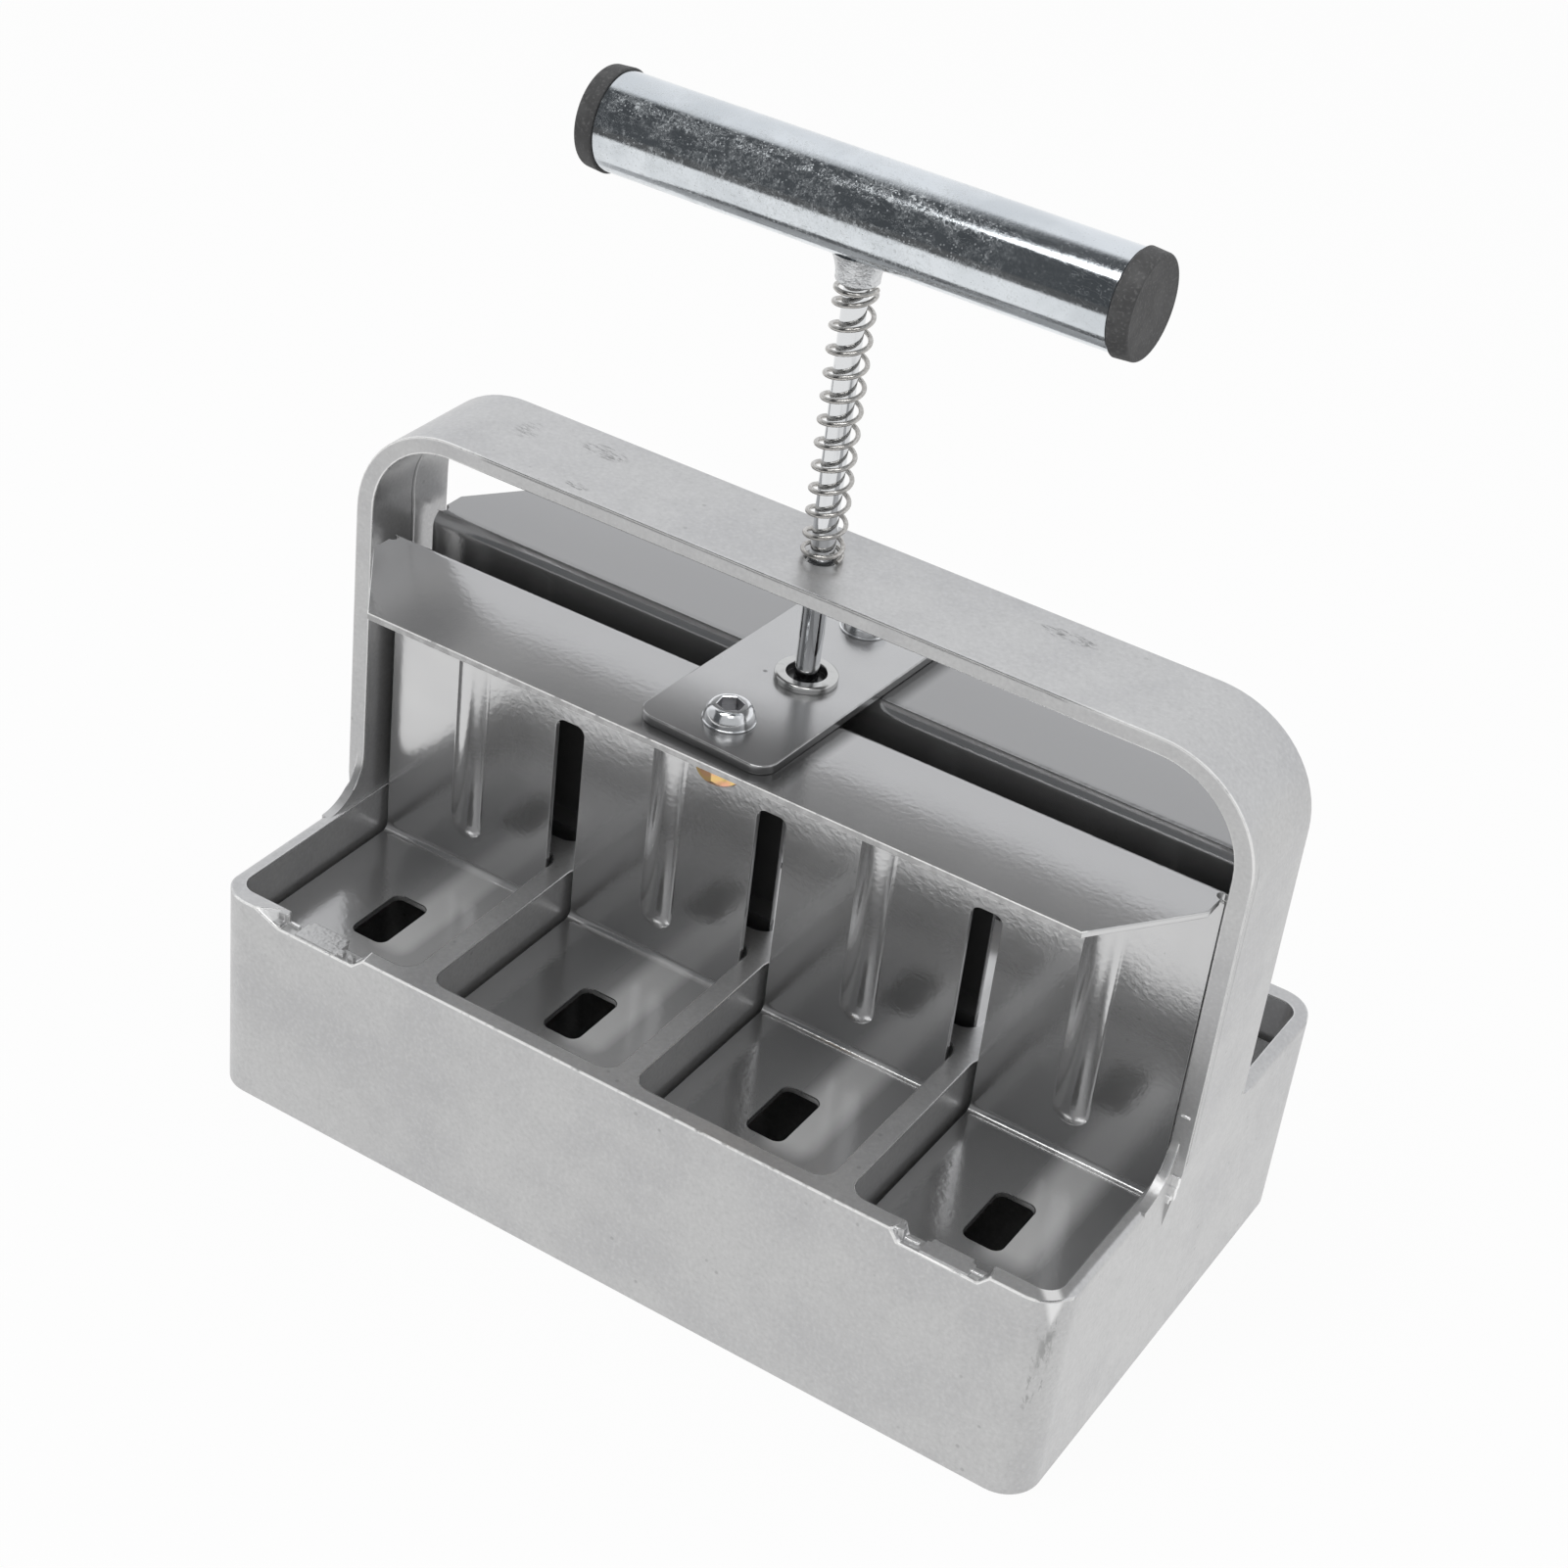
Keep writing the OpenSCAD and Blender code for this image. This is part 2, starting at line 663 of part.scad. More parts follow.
// Collar that joins the push rod to the handle and holds the top of the spring
module spring_collar() {
  color("silver") difference() {
    translate([0, 0, spring_top_z]) cylinder(h = collar_h, d1 = collar_d, d2 = collar_d + collar_flare * collar_h);
    translate([0, 0, handle_z]) rotate([0, 90, 0])
      cylinder(h = 2 * tube_d, r = tube_r + seat_clearance, center = true);
    translate([0, 0, spring_top_z - over]) cylinder(h = collar_h + 2 * over, d = rod_d + 2 * seat_clearance);
  }
}

// Tube of the handle
module handle_tube() {
  color("lightsteelblue") difference() {
    translate([0, 0, handle_z]) rotate([0, 90, 0]) difference() {
      cylinder(h = tube_l, r = tube_r, center = true);
      cylinder(h = tube_l + 2 * over, r = tube_bore_r, center = true);
    }
    translate([0, 0, handle_z - tube_r - over])
      cylinder(h = tube_r, d = rod_d + 2 * seat_clearance);
  }
}

// End cap of the handle, drawn with its plug along +Z and its rim's inner face on the floor
module end_cap() {
  rim_r = tube_r + cap_step;
  plug_r = tube_bore_r - seat_clearance;
  rotate_extrude() {
    translate([0, -cap_t]) square([rim_r - cap_edge_r, cap_t]);
    translate([0, -cap_t + cap_edge_r]) square([rim_r, cap_t - cap_edge_r]);
    translate([rim_r - cap_edge_r, -cap_t + cap_edge_r]) circle(cap_edge_r);
    translate([plug_r - cap_plug_wall, -over]) square([cap_plug_wall, cap_plug_l + over]);
  }
}

// End cap at the left of the handle
module left_end_cap() {
  color("#2b2b2d") translate([-tube_l / 2, 0, handle_z]) rotate([0, 90, 0]) end_cap();
}

// End cap at the right of the handle
module right_end_cap() {
  color("#2b2b2d") translate([tube_l / 2, 0, handle_z]) rotate([0, -90, 0]) end_cap();
}

mould_body();
front_ejector();
rear_ejector();
cross_plate();
plate_screws();
nut_washers();
cap_nuts();
foot_ring();
push_rod();
rod_washer();
rod_nut();
return_spring();
spring_collar();
handle_tube();
left_end_cap();
right_end_cap();
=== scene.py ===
"""Soil blocker with eight cells, dressed for its picture.

A cast mould carries a bail, and a sprung plunger of folded sheet metal slides in it. Lengths are metres in the
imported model's frame: +Z up, the front at -Y, the origin on the floor. Sizes and patterns are in millimetres.
"""

import logging
import math
from contextlib import contextmanager
from dataclasses import dataclass
from enum import Enum
from typing import Callable, Iterator, NamedTuple, Optional, Union

import bmesh
import bpy
from mathutils import Matrix, Vector


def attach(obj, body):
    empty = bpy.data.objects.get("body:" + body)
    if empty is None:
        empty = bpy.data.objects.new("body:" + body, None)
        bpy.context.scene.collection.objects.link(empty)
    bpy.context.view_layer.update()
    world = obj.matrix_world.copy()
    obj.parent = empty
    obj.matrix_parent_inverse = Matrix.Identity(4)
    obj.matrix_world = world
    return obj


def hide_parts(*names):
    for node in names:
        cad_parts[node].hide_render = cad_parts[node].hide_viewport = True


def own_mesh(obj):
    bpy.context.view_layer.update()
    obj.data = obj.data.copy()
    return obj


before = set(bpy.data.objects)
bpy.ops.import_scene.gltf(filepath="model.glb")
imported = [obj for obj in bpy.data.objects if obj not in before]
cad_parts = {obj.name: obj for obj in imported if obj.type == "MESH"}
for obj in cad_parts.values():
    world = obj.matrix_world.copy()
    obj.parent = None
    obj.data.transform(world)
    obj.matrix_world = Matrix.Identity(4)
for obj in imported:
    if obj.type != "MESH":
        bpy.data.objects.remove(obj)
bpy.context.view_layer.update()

LOG = logging.getLogger("soil_blocker")
MM = 0.001
COS_30 = math.cos(math.radians(30))
PLATE_MIDDLE = (-2.4, 1.2)
PLATE_TURN = -2.7
PLATE_TOP = 124.7

Colour = tuple[float, float, float]
Point = tuple[float, float, float]
Flat = tuple[float, float]
Block = tuple[Point, Point]
Piece = bpy.types.Object


class Body(Enum):
    """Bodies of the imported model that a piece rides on."""

    MOULD = "mould"
    PLUNGER = "plunger"


class Slot(Enum):
    """Names of the material slots."""

    CASTING = "cast_metal"
    SHEET = "sheet_metal"
    PLATE = "plate_metal"
    BRIGHT = "bright_steel"
    YELLOW = "yellow_zinc"
    SPRING = "spring_wire"
    TUBE = "zinc_plate"
    PLASTIC = "black_plastic"


class Link:
    """An output of a shader tree, with arithmetic that adds Math nodes."""

    def __init__(self, tree: "Tree", socket: bpy.types.NodeSocket) -> None:
        """Keeps the tree and the output socket."""
        self.tree = tree
        self.socket = socket

    def maths(self, operation: str, *values: "Value") -> "Link":
        """Returns the output of a new Math node with that operation on the values."""
        return self.tree.node("ShaderNodeMath", {"operation": operation}, dict(enumerate(values)))["Value"]

    def __add__(self, other: "Value") -> "Link":
        """Returns the sum."""
        return self.maths("ADD", self, other)

    def __radd__(self, other: "Value") -> "Link":
        """Returns the sum with a number at the left."""
        return self.maths("ADD", other, self)

    def __sub__(self, other: "Value") -> "Link":
        """Returns the difference."""
        return self.maths("SUBTRACT", self, other)

    def __rsub__(self, other: "Value") -> "Link":
        """Returns a number less this value."""
        return self.maths("SUBTRACT", other, self)

    def __mul__(self, other: "Value") -> "Link":
        """Returns the product."""
        return self.maths("MULTIPLY", self, other)

    def __rmul__(self, other: "Value") -> "Link":
        """Returns the product with a number at the left."""
        return self.maths("MULTIPLY", other, self)

    def __truediv__(self, other: "Value") -> "Link":
        """Returns the quotient."""
        return self.maths("DIVIDE", self, other)

    def __pow__(self, power: "Value") -> "Link":
        """Returns the power."""
        return self.maths("POWER", self, power)

    def __abs__(self) -> "Link":
        """Returns the size of the value."""
        return self.maths("ABSOLUTE", self)

    def most(self, other: "Value") -> "Link":
        """Returns the larger of two values."""
        return self.maths("MAXIMUM", self, other)

    def least(self, other: "Value") -> "Link":
        """Returns the smaller of two values."""
        return self.maths("MINIMUM", self, other)

    def above(self, low: float, high: float) -> "Link":
        """Returns a soft step.

        Args:
            low: Value at which the step is 0.
            high: Value at which the step is 1. It may be the smaller one.

        Returns:
            The step, from 0 to 1.
        """
        rising = float(low < high)
        ends = {"Value": self, "From Min": min(low, high), "From Max": max(low, high)}
        ends.update({"To Min": 1.0 - rising, "To Max": rising})
        return self.tree.node("ShaderNodeMapRange", {"interpolation_type": "SMOOTHSTEP"}, ends)["Result"]

    def within(self, low: float, high: float, soft: float) -> "Link":
        """Returns a window from low to high, whose sides are as wide as soft."""
        return self.above(low - soft, low) * self.above(high + soft, high)


Value = Union[float, Colour, Link]


class Spot(NamedTuple):
    """A point on a piece, in millimetres in its own coordinates."""

    x: Link
    y: Link
    z: Link


class Tree:
    """A shader tree that is written as expressions."""

    def __init__(self, owner: Union[bpy.types.Material, bpy.types.World]) -> None:
        """Empties the owner's tree.

        Args:
            owner: The material or world whose tree is written.
        """
        owner.use_nodes = True
        self.nodes = owner.node_tree.nodes
        self.links = owner.node_tree.links
        self.nodes.clear()

    def node(self, kind: str, settings: Optional[dict] = None, values: Optional[dict] = None) -> dict[str, Link]:
        """Adds a node of any kind.

        Args:
            kind: The node's type.
            settings: Its properties, set first.
            values: Values or links for its sockets, by place, identifier or name. A number on a colour is a grey.

        Returns:
            The node's outputs, by name and identifier.
        """
        made = self.nodes.new(kind)
        for name, value in (settings or {}).items():
            setattr(made, name, value)
        inputs = {s.name: s for s in made.inputs} | {s.identifier: s for s in made.inputs}
        inputs.update(enumerate(made.inputs))
        for key, value in (values or {}).items():
            if isinstance(value, Link):
                self.links.new(value.socket, inputs[key])
            elif inputs[key].type == "RGBA":
                inputs[key].default_value = (*((value,) * 3 if isinstance(value, float) else value), 1.0)
            else:
                inputs[key].default_value = value
        return {key: Link(self, s) for s in made.outputs for key in (s.name, s.identifier)}

    def place(self, stretch: Point = (1.0, 1.0, 1.0), turn: Point = (0.0, 0.0, 0.0)) -> Link:
        """Returns the object's own coordinates in millimetres.

        Args:
            stretch: Factor on each axis, for drawn-out patterns.
            turn: Turn about each axis before the stretch, in degrees.

        Returns:
            The coordinates.
        """
        at = self.node("ShaderNodeTexCoord")["Object"]
        if any(turn):
            angles = tuple(math.radians(a) for a in turn)
            at = self.node("ShaderNodeMapping", {}, {"Vector": at, "Rotation": angles})["Vector"]
        scale = tuple(s / MM for s in stretch)
        return self.node("ShaderNodeVectorMath", {"operation": "MULTIPLY"}, {0: at, 1: scale})["Vector"]

    def axes(self, place: Link) -> Spot:
        """Returns the three parts of a vector."""
        parts = self.node("ShaderNodeSeparateXYZ", {}, {"Vector": place})
        return Spot(parts["X"], parts["Y"], parts["Z"])

    def noise(self, place: Link, scale: float, detail: float = 3.0, warp: float = 0.0, rough: float = 0.5) -> Link:
        """Returns a noise about 0.5 with so many features for each millimetre, and detail octaves weighed by rough."""
        values = {"Vector": place, "Scale": scale, "Detail": detail, "Roughness": rough, "Distortion": warp}
        return self.node("ShaderNodeTexNoise", {}, values)["Fac"]

    def specks(self, place: Link, scale: float) -> Link:
        """Returns the distance to the nearest of many scattered points."""
        return self.node("ShaderNodeTexVoronoi", {"feature": "F1"}, {"Vector": place, "Scale": scale})["Distance"]

    def over(self, colour: Value, *coats: tuple[Value, Value]) -> Link:
        """Lays coats of other colours over a colour.

        Args:
            colour: The colour underneath.
            coats: Colour and share of each coat, in order.

        Returns:
            The colour that shows.
        """
        for coat, share in coats:
            values = {"Factor_Float": share, "A_Color": colour, "B_Color": coat}
            colour = self.node("ShaderNodeMix", {"data_type": "RGBA"}, values)["Result_Color"]
        return colour

    def bump(self, height: Link, depth: float) -> Link:
        """Returns a normal with a relief from 0 to 1 that is so many millimetres deep."""
        return self.node("ShaderNodeBump", {}, {"Height": height, "Distance": depth * MM})["Normal"]

    def rays(self) -> tuple[Link, Link]:
        """Returns whether the camera sees a place straight, and whether it does by way of metal or glass."""
        path = self.node("ShaderNodeLightPath")
        return path["Is Camera Ray"], path["Is Glossy Ray"].most(path["Is Transmission Ray"])

    def close(self, shader: Link) -> None:
        """Joins a shader to the tree's output."""
        self.node("ShaderNodeOutputMaterial", {}, {"Surface": shader})


class Look(NamedTuple):
    """What a finish gives to the shader's sockets."""

    colour: Value
    metal: Value
    rough: Value
    normal: Optional[Link] = None
    specular: Optional[float] = None

    def sockets(self) -> dict[str, Value]:
        """Returns the values by the names of their sockets."""
        names = ("Base Color", "Metallic", "Roughness", "Normal", "Specular IOR Level")
        return {name: value for name, value in zip(names, self) if value is not None}


@dataclass(frozen=True)
class Finish:
    """A procedural finish. Each kind has its own paint."""

    name: str

    def paint(self, tree: Tree) -> Look:
        """Returns what the shader's sockets get, written in that tree."""
        raise NotImplementedError

    def material(self) -> bpy.types.Material:
        """Makes the finish's material, once for each name.

        Returns:
            The material.
        """
        made = bpy.data.materials.get(self.name)
        if made is None:
            made = bpy.data.materials.new(self.name)
            tree = Tree(made)
            tree.close(tree.node("ShaderNodeBsdfPrincipled", {}, self.paint(tree).sockets())["BSDF"])
        return made


@dataclass(frozen=True)
class SilverPaint(Finish):
    """Silver-grey metallic paint, semi-gloss, as it lies on folded sheet and on machined plate."""

    shade: Colour = (0.60, 0.60, 0.602)
    thin: Colour = (0.54, 0.54, 0.545)
    metal: float = 0.78
    gloss: float = 0.16
    peel: float = 0.026
    pits: float = 0.0

    def tone(self, tree: Tree, colour: Link, at: Spot) -> Link:
        """Returns the colour as it changes over the piece."""
        return colour

    def painted_light(self, at: Spot) -> Value:
        """Returns where light is painted onto the paint: nowhere on plain paint."""
        return 0.0

    def paint(self, tree: Tree) -> Look:
        """Paints the sheet or plate.

        Args:
            tree: The tree that it is written in.

        Returns:
            What the shader's sockets get.
        """
        place = tree.place()
        at = tree.axes(place)
        height = tree.noise(place, 0.8, 2.0)
        dust = tree.specks(place, 0.22).above(0.09, 0.04) * tree.noise(place, 0.06).above(0.5, 0.6)
        colour = tree.over(
            self.shade,
            (self.thin, tree.noise(place, 0.02).above(0.4, 0.75)),
            (0.72, tree.noise(place, 4.0, 2.0).above(0.52, 0.75) * 0.35),
            (0.3, dust * 0.5),
        )
        colour = self.tone(tree, colour, at)
        if self.pits:
            pit = tree.specks(place, 0.11).above(0.09, 0.05) * tree.noise(place, 0.05).above(0.48, 0.55)
            colour = tree.over(colour, (0.08, pit * self.pits))
            height = height - pit * 2.0
        rough = tree.noise(place, 0.12, 4.0) * 0.1 + (self.gloss - 0.05)
        # Where light is painted on, the paint is also less metallic, so that it reads as lit.
        return Look(colour, self.metal - self.painted_light(at) * 0.48, rough, tree.bump(height, self.peel))


@dataclass(frozen=True)
class SheetPaint(SilverPaint):
    """The silver paint on the sheets, with painted shade on the flanges, between the sheets, low in the cells, on the
    feet and beside the plate, and painted light on the feet.
    """

    cell_pitch: float = 53.0
    foot_top: float = 42.5

    def on_foot(self, z: Link) -> Link:
        """Returns where the foot plates are."""
        return z.above(self.foot_top + 1.5, self.foot_top + 0.5)

    def painted_light(self, at: Spot) -> Value:
        """Finds the painted light on the feet: a pool of light towards the right end of each, and a painted highlight
        by the bend.

        Args:
            at: The point on the sheet.

        Returns:
            The share of painted light.
        """
        from_left = at.x + 2.0 * self.cell_pitch
        along = from_left.maths("FLOORED_MODULO", from_left, self.cell_pitch)
        by_bend = along.within(31.0, 35.0, 7.0) * abs(at.y).above(50.0, 40.0)
        share = along.above(18.0, 34.0) * at.x.above(130.0, -60.0)
        return (share * 0.4).most(by_bend * 0.75) * self.on_foot(at.z)

    def tone(self, tree: Tree, colour: Link, at: Spot) -> Link:
        """Shades the sheet.

        Args:
            tree: The tree that it is written in.
            colour: The plain paint.
            at: The point on the sheet.

        Returns:
            The colour as it changes over the sheet.
        """
        foot, chalk_and_painted_light, flange = self.on_foot(at.z), self.painted_light(at), at.z.above(121.9, 122.4)
        return tree.over(
            colour,
            # Painted shade: the panels darker towards the bottom, deep in the cells.
            (0.30, at.z.above(82.0, 52.0) * (1.0 - foot) * 0.45),
            # Painted shadow on the feet, where no light is painted.
            (0.38, foot * (1.0 - chalk_and_painted_light) * 0.8),
            # Painted light on the right parts of the feet.
            (0.80, chalk_and_painted_light),
            # Painted shade where the two sheets face each other.
            (0.17, abs(at.y).above(6.5, 5.8) * at.z.above(122.0, 112.0) * 0.8),
            # Painted shade on the flanges, the rear one darker than the front one.
            ((0.485, 0.485, 0.487), flange * at.y.above(0.5, -0.5) * 0.92),
            ((0.36, 0.36, 0.362), flange * at.y.above(-0.5, 0.5) * 0.92),
            # Painted shadow on the flange beside the cross plate.
            (0.08, flange * self.plate_shadow(at) * 0.8),
        )

    @staticmethod
    def plate_shadow(at: Spot) -> Link:
        """Finds the painted shadow beside the right and the front edge of the cross plate.

        Args:
            at: The point on the sheet.

        Returns:
            The share of painted shadow.
        """
        right, back = at.x - PLATE_MIDDLE[0], at.y - PLATE_MIDDLE[1]
        cos, sin = math.cos(math.radians(PLATE_TURN)), math.sin(math.radians(PLATE_TURN))
        along, across = right * cos + back * sin, back * cos - right * sin
        return (abs(along - 2.6) - 16.5).most(abs(across + 1.0) - 35.7).above(2.8, -0.8)


@dataclass(frozen=True)
class PlatePaint(SilverPaint):
    """The silver paint on the cross plate, with painted shade towards the front."""

    def tone(self, tree: Tree, colour: Link, at: Spot) -> Link:
        """Returns the colour as it changes over the plate, with painted shade towards the front and inside the ring.
        """
        front_shade, inside = (at.y - at.x * 0.5).above(-6.0, -36.0), (at.x * at.x + at.y * at.y).above(23.0, 16.0)
        return tree.over(colour, ((0.24, 0.24, 0.242), front_shade * 0.85), (0.05, inside * 0.9))


@dataclass(frozen=True)
class EdgePaint(Finish):
    """Paint that has drawn thin over an edge, with a painted highlight where the edge stands out and painted shade
    below a set height.
    """

    shade: Colour = (0.60, 0.60, 0.60)
    thin: Colour = (0.66, 0.66, 0.66)
    highlight_colour: Colour = (0.95, 0.95, 0.94)
    gloss: float = 0.24
    shade_under: float = 0.0

    def painted_highlight(self, at: Spot) -> Optional[Link]:
        """Returns where a highlight is painted on the edge, or None for nowhere."""
        return None

    def paint(self, tree: Tree) -> Look:
        """Paints the edge.

        Args:
            tree: The tree that it is written in.

        Returns:
            What the shader's sockets get.
        """
        place = tree.place()
        at = tree.axes(place)
        beads = tree.noise(place, 0.4)
        colour = tree.over(self.shade, (self.thin, beads.above(0.4, 0.65)))
        metal: Value = 0.8
        # Painted highlight: a bright, less metallic colour along the chosen edges.
        painted_highlight = self.painted_highlight(at)
        if painted_highlight is not None:
            share = painted_highlight * beads.above(0.2, 0.5)
            colour = tree.over(colour, (self.highlight_colour, share))
            metal = metal - share * 0.6
        # Painted shade on the edges below that height.
        if self.shade_under:
            colour = tree.over(colour, (0.12, at.z.above(self.shade_under, self.shade_under - 5.0)))
        return Look(colour, metal, beads * 0.1 + (self.gloss - 0.05))


@dataclass(frozen=True)
class RimEdge(EdgePaint):
    """The casting's edges, with a painted highlight along the outside of the rim and the front of the bail's arcs."""

    def painted_highlight(self, at: Spot) -> Optional[Link]:
        """Finds the outer edge of the rim and the front edge of both arcs.

        Args:
            at: The point on the edge.

        Returns:
            The share of painted highlight.
        """
        front, rear = (0.0 - at.y).above(61.5, 61.9), at.y.above(61.5, 61.9) * 0.8
        ends = abs(at.x).above(106.0, 106.4) * 0.35
        arcs = at.x.above(-74.0, -80.0).most(at.x.above(62.0, 76.0))
        arcs = arcs * (0.0 - at.y).above(13.0, 13.3) * at.z.above(125.0, 135.0)
        return (front.most(rear).most(ends) * at.z.within(51.0, 54.4, 0.3)).most(arcs * 0.8)


@dataclass(frozen=True)
class FlangeEdge(EdgePaint):
    """The sheets' edges, with a painted highlight along the rims of the flanges."""

    def painted_highlight(self, at: Spot) -> Optional[Link]:
        """Returns the cut edges of the flanges."""
        return abs(at.y).above(36.5, 37.3) * at.z.above(119.0, 120.0)


@dataclass(frozen=True)
class CastPaint(Finish):
    """Silver-grey paint on the casting, with its parting lines and scuffs, and a painted highlight over dark scratches
    at the front right corner.
    """

    shade: Colour = (0.56, 0.56, 0.56)
    thin: Colour = (0.515, 0.515, 0.52)
    metal: float = 0.7
    gloss: float = 0.32
    bail_half: float = 109.0
    bail_top: float = 154.0
    shoulder: float = 24.5
    corner: Flat = (98.35, -54.1)
    # Middle, half length, half width and share of each scuffed oval on the strap
    scuffed: tuple[tuple[float, ...], ...] = (
        (-58.0, 6.0, 6.5, 3.0, 1.0),
        (-54.0, -10.2, 3.5, 1.4, 1.0),
        (54.0, 7.2, 8.0, 2.2, 1.0),
        (-76.0, 3.0, 3.5, 4.5, 0.6),
    )

    def from_edge(self, at: Spot) -> Link:
        """Measures the depth under the bail's outer edge, seen from the front.

        Args:
            at: The point on the bail.

        Returns:
            The depth in millimetres.
        """
        out = abs(at.x) - (self.bail_half - self.shoulder)
        up = at.z - (self.bail_top - self.shoulder)
        corner = (out.most(0.0) * out.most(0.0) + up.most(0.0) * up.most(0.0)) ** 0.5
        return self.shoulder - corner - out.most(up).least(0.0)

    def ovals(self, at: Spot) -> Value:
        """Finds the soft ovals that are scuffed.

        Args:
            at: The point on the strap.

        Returns:
            The share of scuffs.
        """
        share: Value = 0.0
        for x, y, half_x, half_y, most in self.scuffed:
            along, across = (at.x - x) / half_x, (at.y - y) / half_y
            share = ((along * along + across * across).above(1.0, 0.4) * most).most(share)
        return share

    def corner_highlight_and_scratches(self, tree: Tree, at: Spot) -> tuple[Link, Link]:
        """Marks the front right corner with a painted highlight and scratches.

        Args:
            tree: The tree that the marks are written in.
            at: The point on the mould.

        Returns:
            The painted highlight, a bright wedge under the rim, and the dark scratches below it.
        """
        beside = abs((at.x - self.corner[0]) + (at.y - self.corner[1]))
        at_corner = at.x.above(99.0, 100.0) * at.y.above(-54.5, -55.5)
        wedge = ((at.z - 44.5) * 0.38 - beside).above(0.0, 2.2) * at.z.above(45.0, 49.5) * at_corner
        streak = tree.noise(tree.place((1.0, 1.0, 0.3), (0.0, 12.0, 0.0)), 0.8, 5.0, 0.5, 0.6)
        near = beside.above(3.6, 0.6) * at.z.within(36.0, 44.5, 2.5) * at_corner
        band = abs(beside - 1.5).above(3.0, 1.0) * at.z.within(26.0, 47.0, 4.0) * at_corner
        return wedge, (streak.above(0.56, 0.66) * band * 0.5).most(streak.above(0.42, 0.6) * near * 0.55)

    def paint(self, tree: Tree) -> Look:
        """Paints the casting.

        Args:
            tree: The tree that it is written in.

        Returns:
            What the shader's sockets get.
        """
        place = tree.place()
        at = tree.axes(place)
        wave = tree.noise(place, 0.05, 2.0)
        grain = tree.noise(place, 1.1, 5.0)
        drift = wave - 0.5
        depth = self.from_edge(at) + drift * 0.5
        bail, side = at.z.above(58.0, 62.0), abs(at.y).above(13.0, 13.4)
        parting = depth.within(0.45, 0.62, 0.16) * side * bail * at.x.within(-72.0, 60.0, 6.0)
        crest = abs(at.y - 1.0 - drift * 1.5).above(0.7, 0.2) * depth.above(3.2, 3.7) * bail
        leg_line = abs(at.y + 11.6 + drift).above(0.35, 0.1) * depth.above(0.6, 0.3) * at.z.within(66.0, 132.0, 4.0)
        scuff = tree.noise(tree.place((0.4, 2.4, 1.0), (0.0, 0.0, 8.0)), 0.9, 6.0, 0.0, 0.68)
        scuffs = scuff.above(0.5, 0.64) * self.ovals(at) * at.z.above(152.5, 153.5)
        speck = tree.specks(place, 0.16).above(0.1, 0.05) * tree.noise(place, 0.03).above(0.45, 0.6)
        # Painted highlight: the bright wedge at the front right corner.
        bright, smear = self.corner_highlight_and_scratches(tree, at)
        colour = tree.over(
            self.shade,
            (self.thin, wave.above(0.35, 0.7)),
            (0.66, grain.above(0.48, 0.7) * 0.35),
            (0.42, grain.above(0.48, 0.28) * 0.3),
            (0.25, (parting * 0.55).most(leg_line * 0.35)),
            (0.16, (scuffs * 0.6).most(speck * 0.32)),
            (0.2, smear),
            (0.95, bright),
        )
        rough = tree.noise(place, 0.2, 4.0) * 0.14 + (self.gloss - 0.07) + scuffs * 0.2
        height = grain * 0.25 + crest * 1.2 - parting * 0.9 - leg_line * 0.4 - scuffs * 0.5
        return Look(colour, self.metal - bright * 0.5, rough, tree.bump(height, 0.12))


@dataclass(frozen=True)
class BrightPlate(Finish):
    """Bright chrome or nickel plating with fine wipe marks."""

    shade: Colour = (0.80, 0.81, 0.82)
    dull: Colour = (0.62, 0.63, 0.64)
    gloss: float = 0.07
    stretch: Point = (1.0, 1.0, 1.0)

    def paint(self, tree: Tree) -> Look:
        """Plates the steel.

        Args:
            tree: The tree that it is written in.

        Returns:
            What the shader's sockets get.
        """
        place = tree.place(self.stretch)
        film = tree.noise(place, 0.5, 5.0, 0.5)
        colour = tree.over(self.shade, (self.dull, film.above(0.5, 0.8)))
        return Look(colour, 1.0, film * 0.06 + (self.gloss - 0.02), tree.bump(tree.noise(place, 3.5), 0.006))


@dataclass(frozen=True)
class DrawnWire(Finish):
    """Grey spring wire with faint drawing marks."""

    shade: Colour = (0.42, 0.405, 0.385)
    pale: Colour = (0.58, 0.57, 0.55)

    def paint(self, tree: Tree) -> Look:
        """Marks the wire.

        Args:
            tree: The tree that it is written in.

        Returns:
            What the shader's sockets get.
        """
        mark = tree.noise(tree.place((1.0, 1.0, 4.0)), 1.2, 4.0)
        colour = tree.over(self.shade, (self.pale, mark.above(0.4, 0.7)))
        return Look(colour, 1.0, mark * 0.12 + 0.14, tree.bump(mark, 0.02))


@dataclass(frozen=True)
class WeldMetal(Finish):
    """A plated weld between the rod and the tube, with shallow ripples."""

    shade: Colour = (0.66, 0.67, 0.68)
    burnt: Colour = (0.42, 0.42, 0.42)

    def paint(self, tree: Tree) -> Look:
        """Ripples the weld.

        Args:
            tree: The tree that it is written in.

        Returns:
            What the shader's sockets get.
        """
        place = tree.place((1.0, 1.0, 1.8))
        ripple, fine = tree.noise(place, 0.55, 3.0, 0.8), tree.noise(place, 2.2, 4.0)
        colour = tree.over(self.shade, (self.burnt, ripple.above(0.52, 0.72)))
        return Look(colour, 1.0, fine * 0.2 + 0.12, tree.bump(ripple + fine * 0.2, 0.45))


